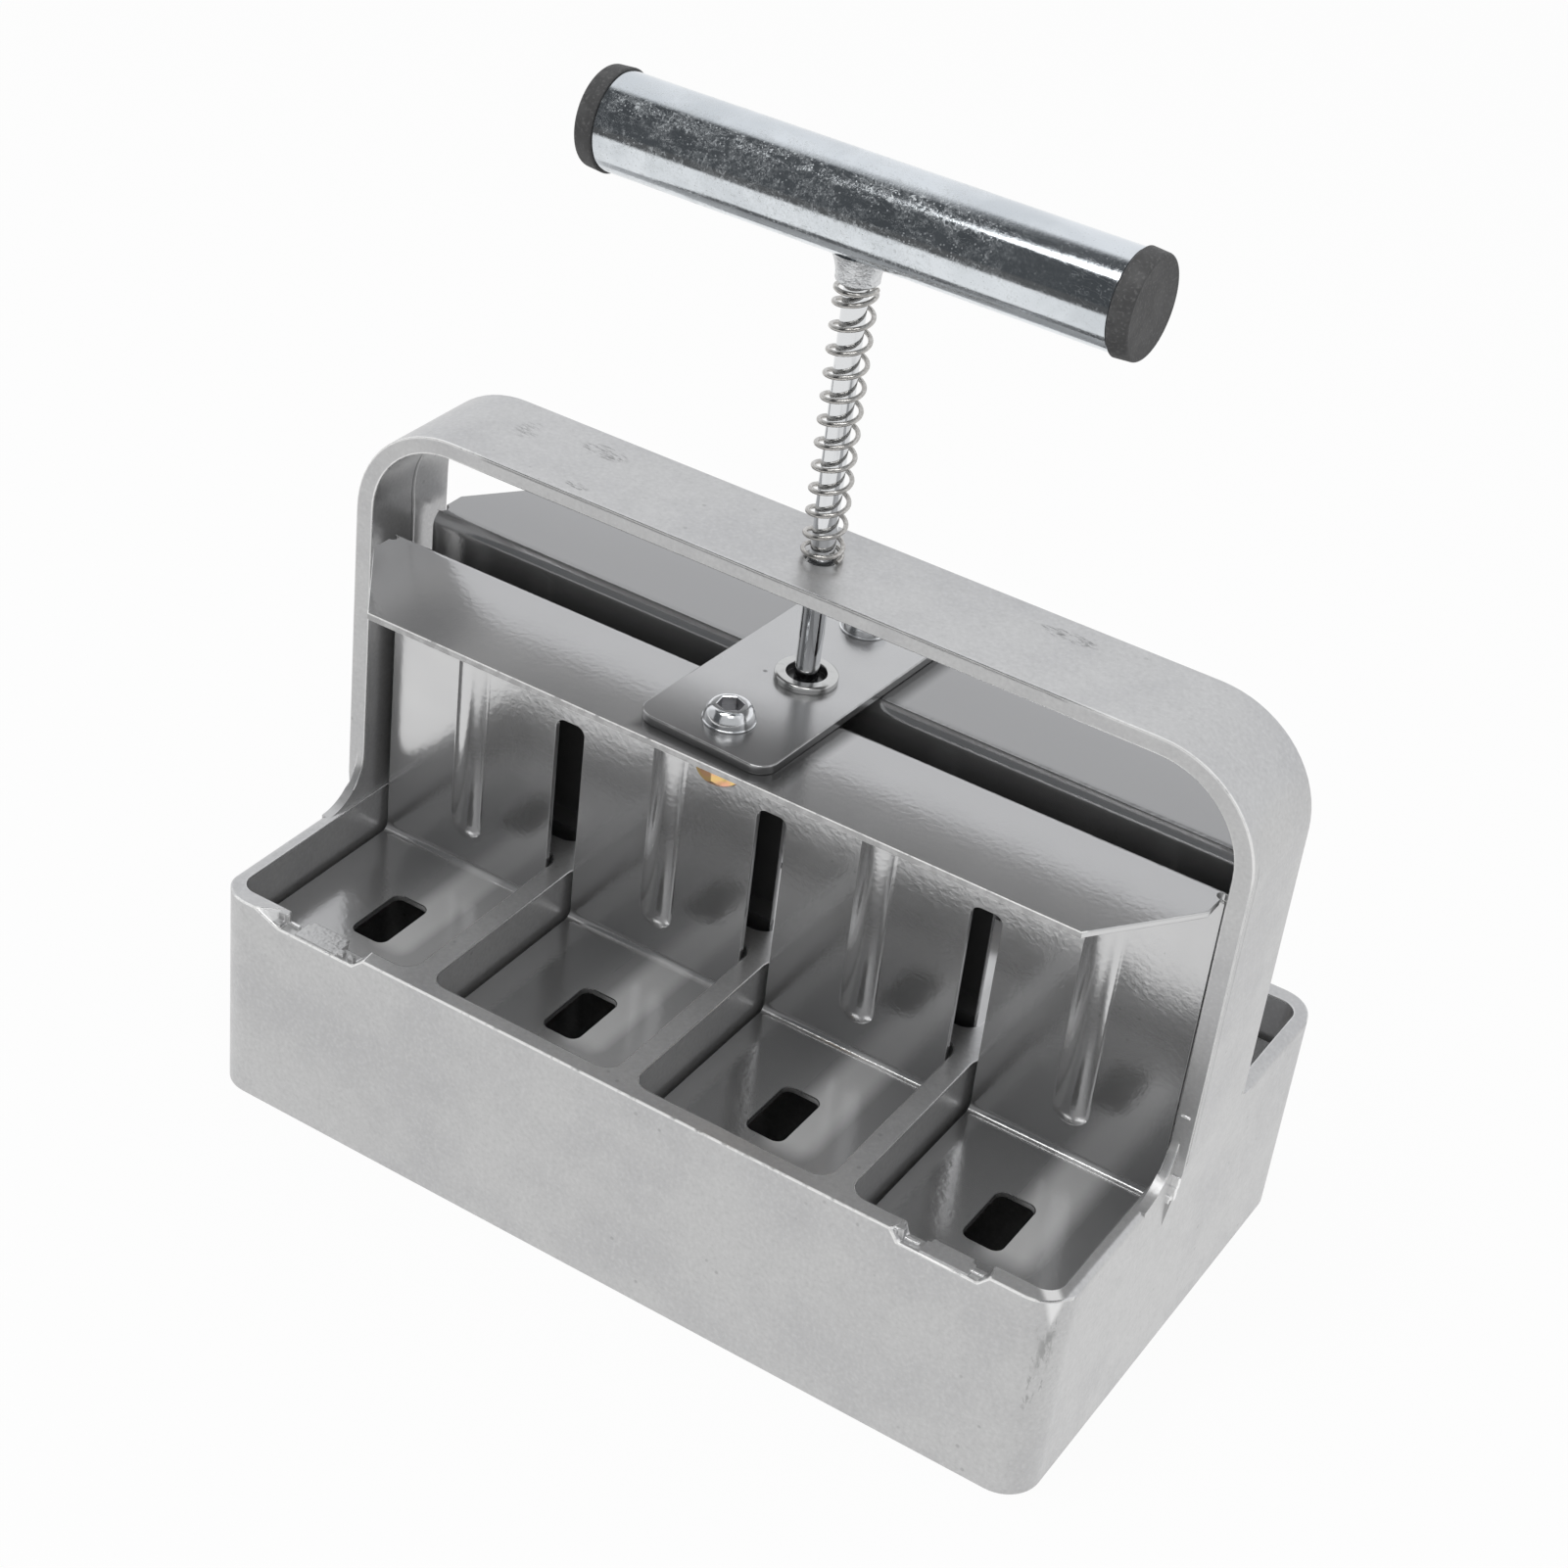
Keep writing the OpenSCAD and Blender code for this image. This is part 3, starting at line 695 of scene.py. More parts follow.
@dataclass(frozen=True)
class YellowZinc(Finish):
    """Yellow passivated zinc, gold with a pink bloom and olive hollows."""

    gold: Colour = (0.86, 0.60, 0.24)
    pink: Colour = (0.88, 0.46, 0.30)
    olive: Colour = (0.36, 0.30, 0.10)

    def paint(self, tree: Tree) -> Look:
        """Passivates the zinc.

        Args:
            tree: The tree that it is written in.

        Returns:
            What the shader's sockets get.
        """
        place = tree.place()
        bloom, patch = tree.noise(place, 0.16, 3.0, 1.0), tree.noise(place, 0.3, 4.0, 0.5)
        colour = tree.over(self.gold, (self.pink, bloom.above(0.42, 0.6)), (self.olive, patch.above(0.52, 0.72) * 0.6))
        return Look(colour, 0.85, patch * 0.15 + 0.12, tree.bump(patch, 0.02))


@dataclass(frozen=True)
class BlueZinc(Finish):
    """Blue-white zinc plating on the tube: a mirror with a pale, powdery crackle, specks and scratches."""

    shade: Colour = (0.70, 0.735, 0.765)
    deep: Colour = (0.60, 0.635, 0.665)
    stain: Colour = (0.62, 0.65, 0.67)
    clear_from: float = 22.0

    def paint(self, tree: Tree) -> Look:
        """Plates the tube, clean towards its right end.

        Args:
            tree: The tree that it is written in.

        Returns:
            What the shader's sockets get.
        """
        place = tree.place()
        broad = tree.noise(place, 0.06, 3.0, 0.4)
        crackle = tree.noise(place, 1.1, 6.0, 1.2, 0.65)
        cloud = tree.noise(tree.place((0.45, 1.0, 1.0)), 0.3, 5.0, 1.0, 0.6)
        clear = (tree.axes(place).x + (broad - 0.5) * 50.0).above(self.clear_from, self.clear_from + 20.0)
        veins = abs(crackle - 0.5).above(0.024, 0.004) * cloud.above(0.42, 0.54)
        chalk_and_painted_light = (crackle.above(0.52, 0.64) * cloud.above(0.38, 0.56)).most(veins * 0.7) * (1.0 - clear * 0.9)
        dots = tree.specks(place, 1.1).above(0.26, 0.12) * tree.noise(place, 0.35).above(0.36, 0.54)
        scratch = tree.noise(tree.place((0.12, 1.4, 1.4), (0.0, 0.0, 18.0)), 0.9, 2.0, 0.3)
        scratches = abs(scratch - 0.47).above(0.006, 0.001) * broad.above(0.4, 0.6)
        dirt = (chalk_and_painted_light * 0.8).most(dots * (1.0 - clear * 0.5) * 0.75).most(scratches * 0.8)
        colour = tree.over(self.shade, (self.deep, broad.above(0.4, 0.65)), (self.stain, dirt))
        return Look(colour, 1.0 - dirt * 0.45, 0.06 + broad * 0.04 + dirt * 0.34, tree.bump(crackle, 0.012))


@dataclass(frozen=True)
class MouldedPlastic(Finish):
    """Matt black plastic with a fine moulded grain and a greyish bloom."""

    shade: Colour = (0.062, 0.062, 0.063)
    bloom: Colour = (0.092, 0.092, 0.093)

    def paint(self, tree: Tree) -> Look:
        """Grains the plastic.

        Args:
            tree: The tree that it is written in.

        Returns:
            What the shader's sockets get.
        """
        place = tree.place()
        grain, cloud = tree.noise(place, 1.6, 4.0), tree.noise(place, 0.25, 4.0)
        colour = tree.over(self.shade, (self.bloom, cloud.above(0.4, 0.7)), (0.17, grain.above(0.52, 0.7) * 0.5))
        return Look(colour, 0.0, 0.56 + cloud * 0.12, tree.bump(grain, 0.05), 0.4)


CAST_PAINT = CastPaint("cast_silver_paint")
CAST_EDGE = RimEdge("cast_edge_paint")
# Painted highlight: a bright finish that makes the gates' crumbs and the legs' feet glint.
GLINT = EdgePaint("gate_glint", (0.86, 0.86, 0.86), (0.95, 0.95, 0.95))
SHEET_PAINT = SheetPaint("sheet_silver_paint", (0.66, 0.66, 0.662), (0.60, 0.60, 0.605))
# Painted shade on the sheets' edges low in the cells, round the foot holes.
SHEET_EDGE = FlangeEdge("sheet_edge_paint", shade_under=50.0)
SHEET_CUT = EdgePaint("sheet_cut_edge", (0.36, 0.36, 0.36), (0.46, 0.46, 0.46))
PLATE_PAINT = PlatePaint(
    "plate_silver_paint", (0.56, 0.56, 0.562), (0.50, 0.50, 0.505), metal=0.85, gloss=0.25, peel=0.009, pits=0.8
)
PLATE_EDGE = EdgePaint("plate_edge_paint", (0.40, 0.40, 0.40), (0.5, 0.5, 0.5))
CHROME = BrightPlate("screw_chrome", gloss=0.15)
# Painted shade: a dark finish for the inside of the screws' sockets.
SOCKET_SHADE = BrightPlate("screw_socket_shade", (0.46, 0.46, 0.47), (0.32, 0.32, 0.33), 0.28)
# Painted shade: a dark finish for the ring's bore.
BORE_SHADE = BrightPlate("ring_bore_shade", (0.16, 0.16, 0.16), (0.10, 0.10, 0.10), 0.3)
NICKEL = BrightPlate("ring_nickel", (0.58, 0.58, 0.57), (0.46, 0.46, 0.45), 0.2)
ROD_CHROME = BrightPlate("rod_chrome", (0.72, 0.73, 0.74), (0.50, 0.51, 0.52), 0.08, (1.0, 1.0, 0.06))
WIRE = DrawnWire("spring_wire_grey")
WELD = WeldMetal("handle_weld")
YELLOW = YellowZinc("yellow_zinc_plating")
TUBE_ZINC = BlueZinc("tube_zinc_plating")
PLASTIC = MouldedPlastic("black_cap_plastic")


def deselect() -> None:
    """Leaves edit mode and deselects every object."""
    if bpy.context.object is not None and bpy.context.object.mode != "OBJECT":
        bpy.ops.object.mode_set(mode="OBJECT")
    bpy.ops.object.select_all(action="DESELECT")


def take(piece: Piece) -> None:
    """Makes one object the only selected one and the active one.

    Args:
        piece: The object.
    """
    deselect()
    piece.select_set(True)
    bpy.context.view_layer.objects.active = piece


@contextmanager
def editing(piece: Piece) -> Iterator[None]:
    """Keeps a piece in edit mode.

    Args:
        piece: The piece.

    Returns:
        A context that ends in object mode.
    """
    take(piece)
    bpy.ops.object.mode_set(mode="EDIT")
    yield
    bpy.ops.object.mode_set(mode="OBJECT")


def select(kind: str, action: str = "SELECT") -> None:
    """Selects or deselects the whole mesh, with FACE, EDGE or VERT as the mode."""
    bpy.ops.mesh.select_mode(type=kind)
    bpy.ops.mesh.select_all(action=action)


def seat(piece: Piece, at: Point, turn: Point = (0.0, 0.0, 0.0)) -> None:
    """Moves and turns a piece and puts its place into its mesh.

    Args:
        piece: The piece.
        at: Where its own origin goes, in millimetres.
        turn: Its turn about each axis, in degrees.
    """
    take(piece)
    piece.location = tuple(v * MM for v in at)
    piece.rotation_euler = tuple(math.radians(a) for a in turn)
    bpy.ops.object.transform_apply(location=True, rotation=True, scale=True)


def smooth(piece: Piece, degrees: float) -> None:
    """Shades a piece smooth up to an angle between its faces."""
    take(piece)
    bpy.ops.object.shade_smooth_by_angle(angle=math.radians(degrees))


def with_modifier(piece: Piece, kind: str, **settings: object) -> None:
    """Adds a modifier, sets it and applies it.

    Args:
        piece: The piece.
        kind: The modifier's type.
        settings: Its properties.
    """
    take(piece)
    made = piece.modifiers.new(kind.lower(), kind)
    for name, value in settings.items():
        setattr(made, name, value)
    bpy.ops.object.modifier_apply(modifier=made.name)


def pick(piece: Piece, wanted: Callable[[Vector, Vector], bool], kind: str = "FACE") -> int:
    """Selects parts of the mesh in edit mode by their place and their normal or direction.

    Args:
        piece: The piece, in edit mode.
        wanted: Says of a part's middle and way whether it is selected.
        kind: FACE, EDGE or VERT.

    Returns:
        How many parts were selected.
    """
    select(kind, "DESELECT")
    mesh = bmesh.from_edit_mesh(piece.data)
    count = 0
    for part in {"FACE": mesh.faces, "EDGE": mesh.edges, "VERT": mesh.verts}[kind]:
        ends = [part.co] if kind == "VERT" else [v.co for v in part.verts]
        way = (ends[1] - ends[0]).normalized() if kind == "EDGE" else part.normal
        if wanted(sum(ends, Vector()) / len(ends), way):
            part.select_set(True)
            count += 1
    mesh.select_flush_mode()
    bmesh.update_edit_mesh(piece.data)
    return count


def tidy_mesh() -> None:
    """Merges doubles, turns normals outwards and leaves edit mode."""
    bpy.ops.mesh.select_all(action="SELECT")
    bpy.ops.mesh.remove_doubles(threshold=1e-6)
    bpy.ops.mesh.normals_make_consistent(inside=False)
    bpy.ops.object.mode_set(mode="OBJECT")


def arc(middle: Flat, radius: float, start: float, end: float, steps: int) -> list[Flat]:
    """Returns points of an arc in a profile of radius and height, with angles in degrees, 0 outwards and 90 up."""
    angles = [math.radians(start + (end - start) * i / steps) for i in range(steps + 1)]
    return [(middle[0] + radius * math.cos(a), middle[1] + radius * math.sin(a)) for a in angles]


def circle(name: str, sides: int, radius: float, height: float = 0.0, fill: str = "NGON") -> Piece:
    """Adds a circle round +Z and opens it in edit mode.

    Args:
        name: The piece's name.
        sides: Number of sides.
        radius: Its radius in millimetres.
        height: Its height in millimetres.
        fill: NGON for a disc, NOTHING for a bare ring.

    Returns:
        The piece.
    """
    deselect()
    at = (0.0, 0.0, height * MM)
    bpy.ops.mesh.primitive_circle_add(vertices=sides, radius=radius * MM, fill_type=fill, location=at)
    piece = bpy.context.object
    piece.name = name
    bpy.ops.object.transform_apply(location=True)
    bpy.ops.object.mode_set(mode="EDIT")
    return piece


def draw_out(radius: float, height: float, profile: list[Flat]) -> None:
    """Extrudes and scales the selection along a profile round +Z, in edit mode.

    Args:
        radius: Radius of the selection in millimetres.
        height: Its height.
        profile: Radii and heights that it goes through.
    """
    for next_radius, next_height in profile:
        rise = (0.0, 0.0, (next_height - height) * MM)
        bpy.ops.mesh.extrude_region_move(TRANSFORM_OT_translate={"value": rise})
        scale = next_radius / radius
        bpy.ops.transform.resize(value=(scale, scale, 1.0), center_override=(0.0, 0.0, next_height * MM))
        radius, height = next_radius, next_height


def turned(name: str, profile: list[Flat], sides: int, degrees: float, ring: bool = False) -> Piece:
    """Turns a profile round +Z by extruding and scaling one ring of edges again and again.

    Args:
        name: The piece's name.
        profile: Radii and heights in millimetres.
        sides: Number of sides.
        degrees: Largest angle that is shaded smooth.
        ring: True for a profile that closes on itself round a bore, False for one with a flat cap at each end.

    Returns:
        The piece.
    """
    piece = circle(name, sides, *profile[0], "NOTHING" if ring else "NGON")
    select("EDGE" if ring else "FACE")
    draw_out(*profile[0], profile[1:] + (profile[:1] if ring else []))
    tidy_mesh()
    smooth(piece, degrees)
    return piece


def coat(piece: Piece, *finishes: Finish) -> None:
    """Adds finishes to a piece's material slots, in order."""
    for finish in finishes:
        piece.data.materials.append(finish.material())


def use_finish(piece: Piece, index: int, wanted: Callable[[Vector, Vector], bool]) -> None:
    """Gives some faces another of the piece's finishes, in edit mode.

    Args:
        piece: The piece.
        index: Place of the finish among its material slots.
        wanted: Says of a face's middle and normal whether it gets the finish.
    """
    pick(piece, wanted)
    piece.active_material_index = index
    bpy.ops.object.material_slot_assign()


def dress(piece: Piece, body: Body, node: str = "") -> None:
    """Gives a piece its body.

    Args:
        piece: The piece.
        body: The body that it rides on.
        node: The CAD node that it stands for, if it does.
    """
    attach(piece, body.value)
    if node:
        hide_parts(node)
    LOG.info("%s: %d faces on %s", piece.name, len(piece.data.polygons), body.value)


def joined(name: str, pieces: list[Piece]) -> Piece:
    """Joins several objects into one.

    Args:
        name: The name of the whole.
        pieces: The objects.

    Returns:
        The joined object.
    """
    take(pieces[0])
    for piece in pieces[1:]:
        piece.select_set(True)
    bpy.ops.object.join()
    pieces[0].name = name
    return pieces[0]


def repeated(piece: Piece) -> Piece:
    """Copies a piece.

    Args:
        piece: The piece.

    Returns:
        The copy, with a mesh of its own.
    """
    copy = piece.copy()
    copy.data = piece.data.copy()
    bpy.context.scene.collection.objects.link(copy)
    return copy


def plain_copy(node: str, name: str, *finishes: Finish) -> Piece:
    """Copies a CAD node and merges its corners.

    Args:
        node: The CAD node.
        name: The copy's name.
        finishes: Its finishes: on its faces, on its edges, and one that is kept for some faces.

    Returns:
        The copy.
    """
    piece = repeated(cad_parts[node])
    piece.parent = None
    for key in list(piece.keys()):
        del piece[key]
    piece.name = name
    piece.data.materials.clear()
    coat(piece, *finishes)
    with editing(piece):
        bpy.ops.mesh.select_all(action="SELECT")
        bpy.ops.mesh.customdata_custom_splitnormals_clear()
        bpy.ops.mesh.remove_doubles(threshold=2e-6)
        bpy.ops.mesh.dissolve_limited(angle_limit=math.radians(0.4))
        bpy.ops.mesh.normals_make_consistent(inside=False)
    return piece


def ease(piece: Piece, edge: float, sharp: float, spared: Callable[[Vector], bool] = lambda _: False) -> Piece:
    """Rounds the sharp edges of a piece, which then have its second finish.

    Args:
        piece: The piece.
        edge: Width of the rounding in millimetres.
        sharp: Least angle of an edge that is rounded, in degrees.
        spared: Says of an edge's middle whether it stays sharp.

    Returns:
        The piece.
    """
    with editing(piece):
        select("EDGE", "DESELECT")
        bpy.ops.mesh.edges_select_sharp(sharpness=math.radians(sharp))
        mesh = bmesh.from_edit_mesh(piece.data)
        for line in mesh.edges:
            if line.select and spared((line.verts[0].co + line.verts[1].co) / 2):
                line.select_set(False)
        bmesh.update_edit_mesh(piece.data)
        bpy.ops.transform.edge_bevelweight(value=1.0)
    rounding = {"width": edge * MM, "segments": 2, "limit_method": "WEIGHT", "use_clamp_overlap": False}
    with_modifier(piece, "BEVEL", material=1, **rounding)
    smooth(piece, sharp + 8.0)
    with_modifier(piece, "WEIGHTED_NORMAL", keep_sharp=True, weight=80)
    return piece


def melted(name: str, blocks: list[Block], grain: float, seed: int) -> Piece:
    """Builds blocks of metal and melts them into one lumpy form.

    Args:
        name: The piece's name.
        blocks: Two opposite corners of each block, in millimetres.
        grain: Size of the mesh's cells in millimetres.
        seed: Seed of the unevenness.

    Returns:
        The piece.
    """
    parts = []
    for low, high in blocks:
        deselect()
        bpy.ops.mesh.primitive_cube_add(size=1.0)
        parts.append(bpy.context.object)
        parts[-1].scale = tuple((b - a) * MM for a, b in zip(low, high))
        seat(parts[-1], tuple((a + b) / 2 for a, b in zip(low, high)))
    piece = joined(name, parts)
    with_modifier(piece, "REMESH", mode="VOXEL", voxel_size=grain * MM)
    with editing(piece):
        bpy.ops.mesh.select_all(action="SELECT")
        bpy.ops.transform.vertex_random(offset=grain * 0.3 * MM, uniform=0.3, normal=0.7, seed=seed)
        bpy.ops.mesh.normals_make_consistent(inside=False)
    with_modifier(piece, "SMOOTH", factor=0.5, iterations=5)
    smooth(piece, 60.0)
    return piece


@dataclass
class Casting:
    """The cast mould with its bail, and the torn gates in its front rim."""

    edge: float = 0.42
    sharp: float = 28.0
    rim_top: float = 54.0
    dip_floor: float = 51.3
    outer_y: float = -62.5
    inner_y: float = -58.2
    reach: float = 0.35
    grain: float = 0.2

    def build(self) -> None:
        """Builds the casting and what is left of its gates."""
        body = plain_copy("mould_body", "cast_mould", CAST_PAINT, CAST_EDGE)
        self.tear_dips(body)
        dress(ease(body, self.edge, self.sharp, self.at_foot), Body.MOULD, "mould_body")
        for name, finish, blocks in self.lumps():
            lump = melted(name, blocks, self.grain, len(blocks))
            coat(lump, finish)
            dress(lump, Body.MOULD)

    @staticmethod
    def at_foot(at: Vector) -> bool:
        """Says whether a place is on the underside or by the foot of a leg, where the webs run out into the rim."""
        x, y, z = (abs(v) / MM for v in at)
        return z < 0.5 or x > 101.0 and 12.0 < y < 28.0 and 50.0 < z < 58.0

    def tear_dips(self, body: Piece) -> None:
        """Gives each end of the two dips its own uneven slope.

        Args:
            body: The casting's copy.
        """
        # Ends of a slope at the rim and at the dip's floor, and the step of each: outside, then inside
        slopes = (
            (-94.15, -91.15, (-1.3, 2.4), (4.6, 2.8)),
            (-64.15, -67.15, (-1.3, -1.3), (-1.8, -0.8)),
            (66.35, 69.35, (1.6, 0.6), (3.4, 1.4)),
            (96.35, 93.35, (-5.6, -5.0), (-6.6, -4.0)),
        )
        with editing(body):
            for at_rim, at_floor, *sides in slopes:
                for y, (rim_step, floor_step) in zip((self.outer_y, self.inner_y), sides):
                    self.shift(body, (at_rim, y, self.rim_top), rim_step)
                    self.shift(body, (at_floor, y, self.dip_floor), floor_step)
            tidy_mesh()

    def shift(self, body: Piece, at: Point, step: float) -> None:
        """Moves one corner of a dip along the rim, in edit mode.

        Args:
            body: The casting's copy.
            at: The corner.
            step: How far it is moved.
        """
        found = pick(body, lambda middle, _: (middle - Vector(at) * MM).length < self.reach * MM, "VERT")
        LOG.info("dip corner at %.2f: %d", at[0], found)
        if found:
            bpy.ops.transform.translate(value=(step * MM, 0.0, 0.0))

    def lumps(self) -> list[tuple[str, Finish, list[Block]]]:
        """Returns the name, the finish and the blocks of each lump of metal.

        Returns:
            Each gate's pad with the torn end of the rim beside it, the crumbs by the pads, and the metal that ran
            together at the front of the legs' feet; the crumbs and that metal are painted bright as glints.
        """
        pad, crumb = self.dip_floor - 0.7, self.dip_floor - 0.5
        return [
            ("left_gate", CAST_PAINT, [
                ((-84.5, -62.1, pad), (-73.2, -57.2, 51.8)), ((-83.6, -57.4, pad), (-73.9, -55.9, 51.8)),
                ((-90.4, -60.3, pad), (-88.6, -59.6, 53.9)), ((-90.4, -59.7, pad), (-87.8, -58.9, 53.95)),
                ((-90.4, -59.0, pad), (-88.3, -58.1, 53.8)), ((-92.0, -62.1, pad), (-88.6, -60.4, 52.2)),
                ((-72.9, -61.6, pad), (-71.4, -60.1, 52.4)), ((-70.3, -61.4, pad), (-68.8, -60.2, 52.3)),
            ]),
            ("right_gate", CAST_PAINT, [
                ((74.8, -62.1, pad), (86.0, -58.4, 51.8)), ((75.5, -58.8, pad), (85.0, -57.1, 51.8)),
                ((67.6, -61.9, pad), (69.3, -61.0, 53.6)), ((67.6, -61.2, pad), (70.6, -59.7, 53.9)),
                ((67.6, -59.8, pad), (69.8, -58.3, 53.95)),
            ]),
            # Painted highlight: these lumps get the bright glint finish.
            ("gate_crumbs", GLINT, [
                ((-88.6, -59.9, crumb), (-85.0, -58.9, 52.0)), ((70.5, -60.9, crumb), (74.1, -59.9, 52.1)),
                ((85.6, -60.9, crumb), (88.9, -59.9, 52.1)), ((-75.9, -62.5, 50.9), (-74.7, -61.9, 51.6)),
                ((-52.9, -62.4, 53.3), (-51.5, -61.9, 54.2)),
            ]),
            ("right_foot_web", GLINT, [
                ((103.4, -14.6, 49.0), (107.4, -13.0, 50.8)), ((104.4, -14.2, 50.0), (108.2, -13.0, 53.4)),
                ((106.6, -14.0, 53.0), (108.5, -13.0, 56.2)), ((105.4, -13.95, 71.2), (107.6, -13.2, 71.9)),
            ]),
            ("left_foot_web", GLINT, [
                ((-108.7, -14.7, 49.5), (-105.2, -13.0, 51.4)), ((-108.6, -14.3, 51.0), (-106.0, -13.0, 53.6)),
                ((-107.0, -14.1, 53.0), (-105.6, -13.0, 57.0)),
            ]),
        ]


@dataclass
class Ejectors:
    """The two folded sheets that push the blocks out."""

    edge: float = 0.2
    sharp: float = 44.0
    flange_z: float = 120.0
    flange_y: float = 35.0

    def build(self) -> None:
        """Builds the front and the rear sheet, with the dark middle of the flange's cut edge."""
        low, out = self.flange_z * MM, self.flange_y * MM
        for side in ("front", "rear"):
            copy = plain_copy(f"{side}_ejector", f"{side}_sheet", SHEET_PAINT, SHEET_EDGE, SHEET_CUT)
            sheet = ease(copy, self.edge, self.sharp)
            with editing(sheet):
                use_finish(sheet, 2, lambda at, way: at.z > low and abs(at.y) > out and abs(way.z) < 0.3)
            dress(sheet, Body.PLUNGER, f"{side}_ejector")


@dataclass
class TiePlate:
    """The cross plate with its screws, washers and nuts."""

    edge: float = 0.35
    sharp: float = 40.0
    screw_y: float = 25.2
    front_turn: float = 8.0
    rear_turn: float = 22.0
    head_h: float = 3.9
    flange_r: float = 5.7
    flange_t: float = 0.5
    dome_r: float = 5.45
    socket_af: float = 5.0
    socket_depth: float = 2.0
    socket_ease: float = 0.15
    land_r: float = 3.35
    shank_r: float = 3.0
    shank_l: float = 12.0
    washer_top: float = 121.0
    washer_t: float = 1.6
    washer_bore_r: float = 3.2
    washer_r: float = 6.0
    nut_h: float = 10.2
    nut_af: float = 10.0
    nut_ease: float = 0.3
    nut_ball_r: float = 6.5

    def build(self) -> None:
        """Builds the plate and what holds it."""
        plate = plain_copy("cross_plate", "tie_plate", PLATE_PAINT, PLATE_EDGE)
        dress(ease(plate, self.edge, self.sharp), Body.PLUNGER, "cross_plate")
        under = self.washer_top - self.washer_t
        self.pair("button_screws", self.screw(), PLATE_TOP, "plate_screws")
        for name, piece, node in (
            ("yellow_washers", self.washer(), "nut_washers"),
            ("acorn_nuts", self.acorn_nut(), "cap_nuts"),
        ):
            coat(piece, YELLOW)
            self.pair(name, piece, under, node)

    def pair(self, name: str, piece: Piece, height: float, node: str) -> None:
        """Puts a piece and its copy at the two screws, joins and dresses them.

        Args:
            name: The name of the pair.
            piece: The piece, modelled at the origin.
            height: Height of its own origin.
            node: The CAD node that the pair stands for.
        """
        angle = math.radians(PLATE_TURN)
        along = (-self.screw_y * math.sin(angle), self.screw_y * math.cos(angle))
        other = repeated(piece)
        for one, way, turn in ((other, 1.0, self.rear_turn), (piece, -1.0, self.front_turn)):
            x, y = (middle + way * step for middle, step in zip(PLATE_MIDDLE, along))
            seat(one, (x, y, height), (0.0, 0.0, turn))
        dress(joined(name, [piece, other]), Body.PLUNGER, node)

    def screw(self) -> Piece:
        """Builds one flanged button screw round a hexagonal socket.

        Returns:
            The screw, with the underside of its head on the floor.
        """
        corner, top = self.socket_af / 2 / COS_30, self.head_h
        low, wide, round_share = top - self.socket_depth, corner * 1.06, 0.925
        piece = circle("button_screw", 6, corner, low)
        select("EDGE")
        bpy.ops.mesh.subdivide(number_cuts=9)
        select("FACE")
        draw_out(corner, low, [(corner, top - self.socket_ease), (wide, top), (self.land_r / round_share, top)])
        bpy.ops.mesh.select_mode(type="VERT")
        bpy.ops.transform.tosphere(value=1.0)
        mesh = bmesh.from_edit_mesh(piece.data)
        radius = max(math.hypot(v.co.x, v.co.y) for v in mesh.verts if v.select) / MM
        bpy.ops.mesh.select_mode(type="FACE")
        draw_out(radius, top, self.head_profile(radius))
        coat(piece, CHROME, SOCKET_SHADE)
        # Painted shade: the socket's walls and floor get the dark finish.
        use_finish(piece, 1, lambda at, _: math.hypot(at.x, at.y) < corner * MM and 0.0 < at.z < (top - 0.1) * MM)
        tidy_mesh()
        smooth(piece, 32.0)
        return piece

    def head_profile(self, start: float) -> list[Flat]:
        """Returns radii and heights of the head from its flat top down to the end of the shank.

        Args:
            start: Radius of the flat top.

        Returns:
            The points in millimetres.
        """
        wide, high, lip = self.dome_r - start, self.head_h - self.flange_t, self.flange_t / 2
        angles = [i / 12 * math.pi / 2 for i in range(1, 13)]
        dome = [(start + wide * math.sin(a), self.head_h - high * (1 - math.cos(a))) for a in angles]
        flange = [(self.dome_r + 0.05, self.flange_t + 0.01)]
        flange += arc((self.flange_r - lip, lip), lip, 80.0, -90.0, 8)
        shank = [(self.shank_r + 0.2, 0.0), (self.shank_r, -0.2), (self.shank_r, 0.6 - self.shank_l)]
        return dome + flange + shank + [(self.shank_r - 0.6, -self.shank_l)]

    def washer(self) -> Piece:
        """Builds one washer that lies on the floor.

        Returns:
            The washer.
        """
        inner, outer, high, soft = self.washer_bore_r, self.washer_r, self.washer_t, 0.15
        profile = [(inner, 0.0), (outer - soft, 0.0), (outer, soft), (outer, high - soft), (outer - soft, high)]
        return turned("washer", profile + [(inner, high)], 64, 30.0, True)

    def acorn_nut(self) -> Piece:
        """Builds one closed nut that hangs from its upper face.

        Returns:
            The nut: a hexagon whose lower end a ball has rounded.
        """
        hexagon = circle("acorn_nut", 6, self.nut_af / 2 / COS_30)
        bpy.ops.mesh.select_all(action="SELECT")
        draw_out(1.0, 0.0, [(1.0, -self.nut_h)])
        pick(hexagon, lambda _, along: abs(along.z) > 0.9, "EDGE")
        bpy.ops.mesh.bevel(offset=self.nut_ease * MM, segments=3, affect="EDGES")
        tidy_mesh()
        middle = (0.0, 0.0, (self.nut_ball_r - self.nut_h) * MM)
        bpy.ops.mesh.primitive_uv_sphere_add(segments=96, ring_count=48, radius=self.nut_ball_r * MM, location=middle)
        ball = bpy.context.object
        with_modifier(hexagon, "BOOLEAN", operation="INTERSECT", object=ball, solver="EXACT")
        bpy.data.objects.remove(ball)
        smooth(hexagon, 26.0)
        return hexagon


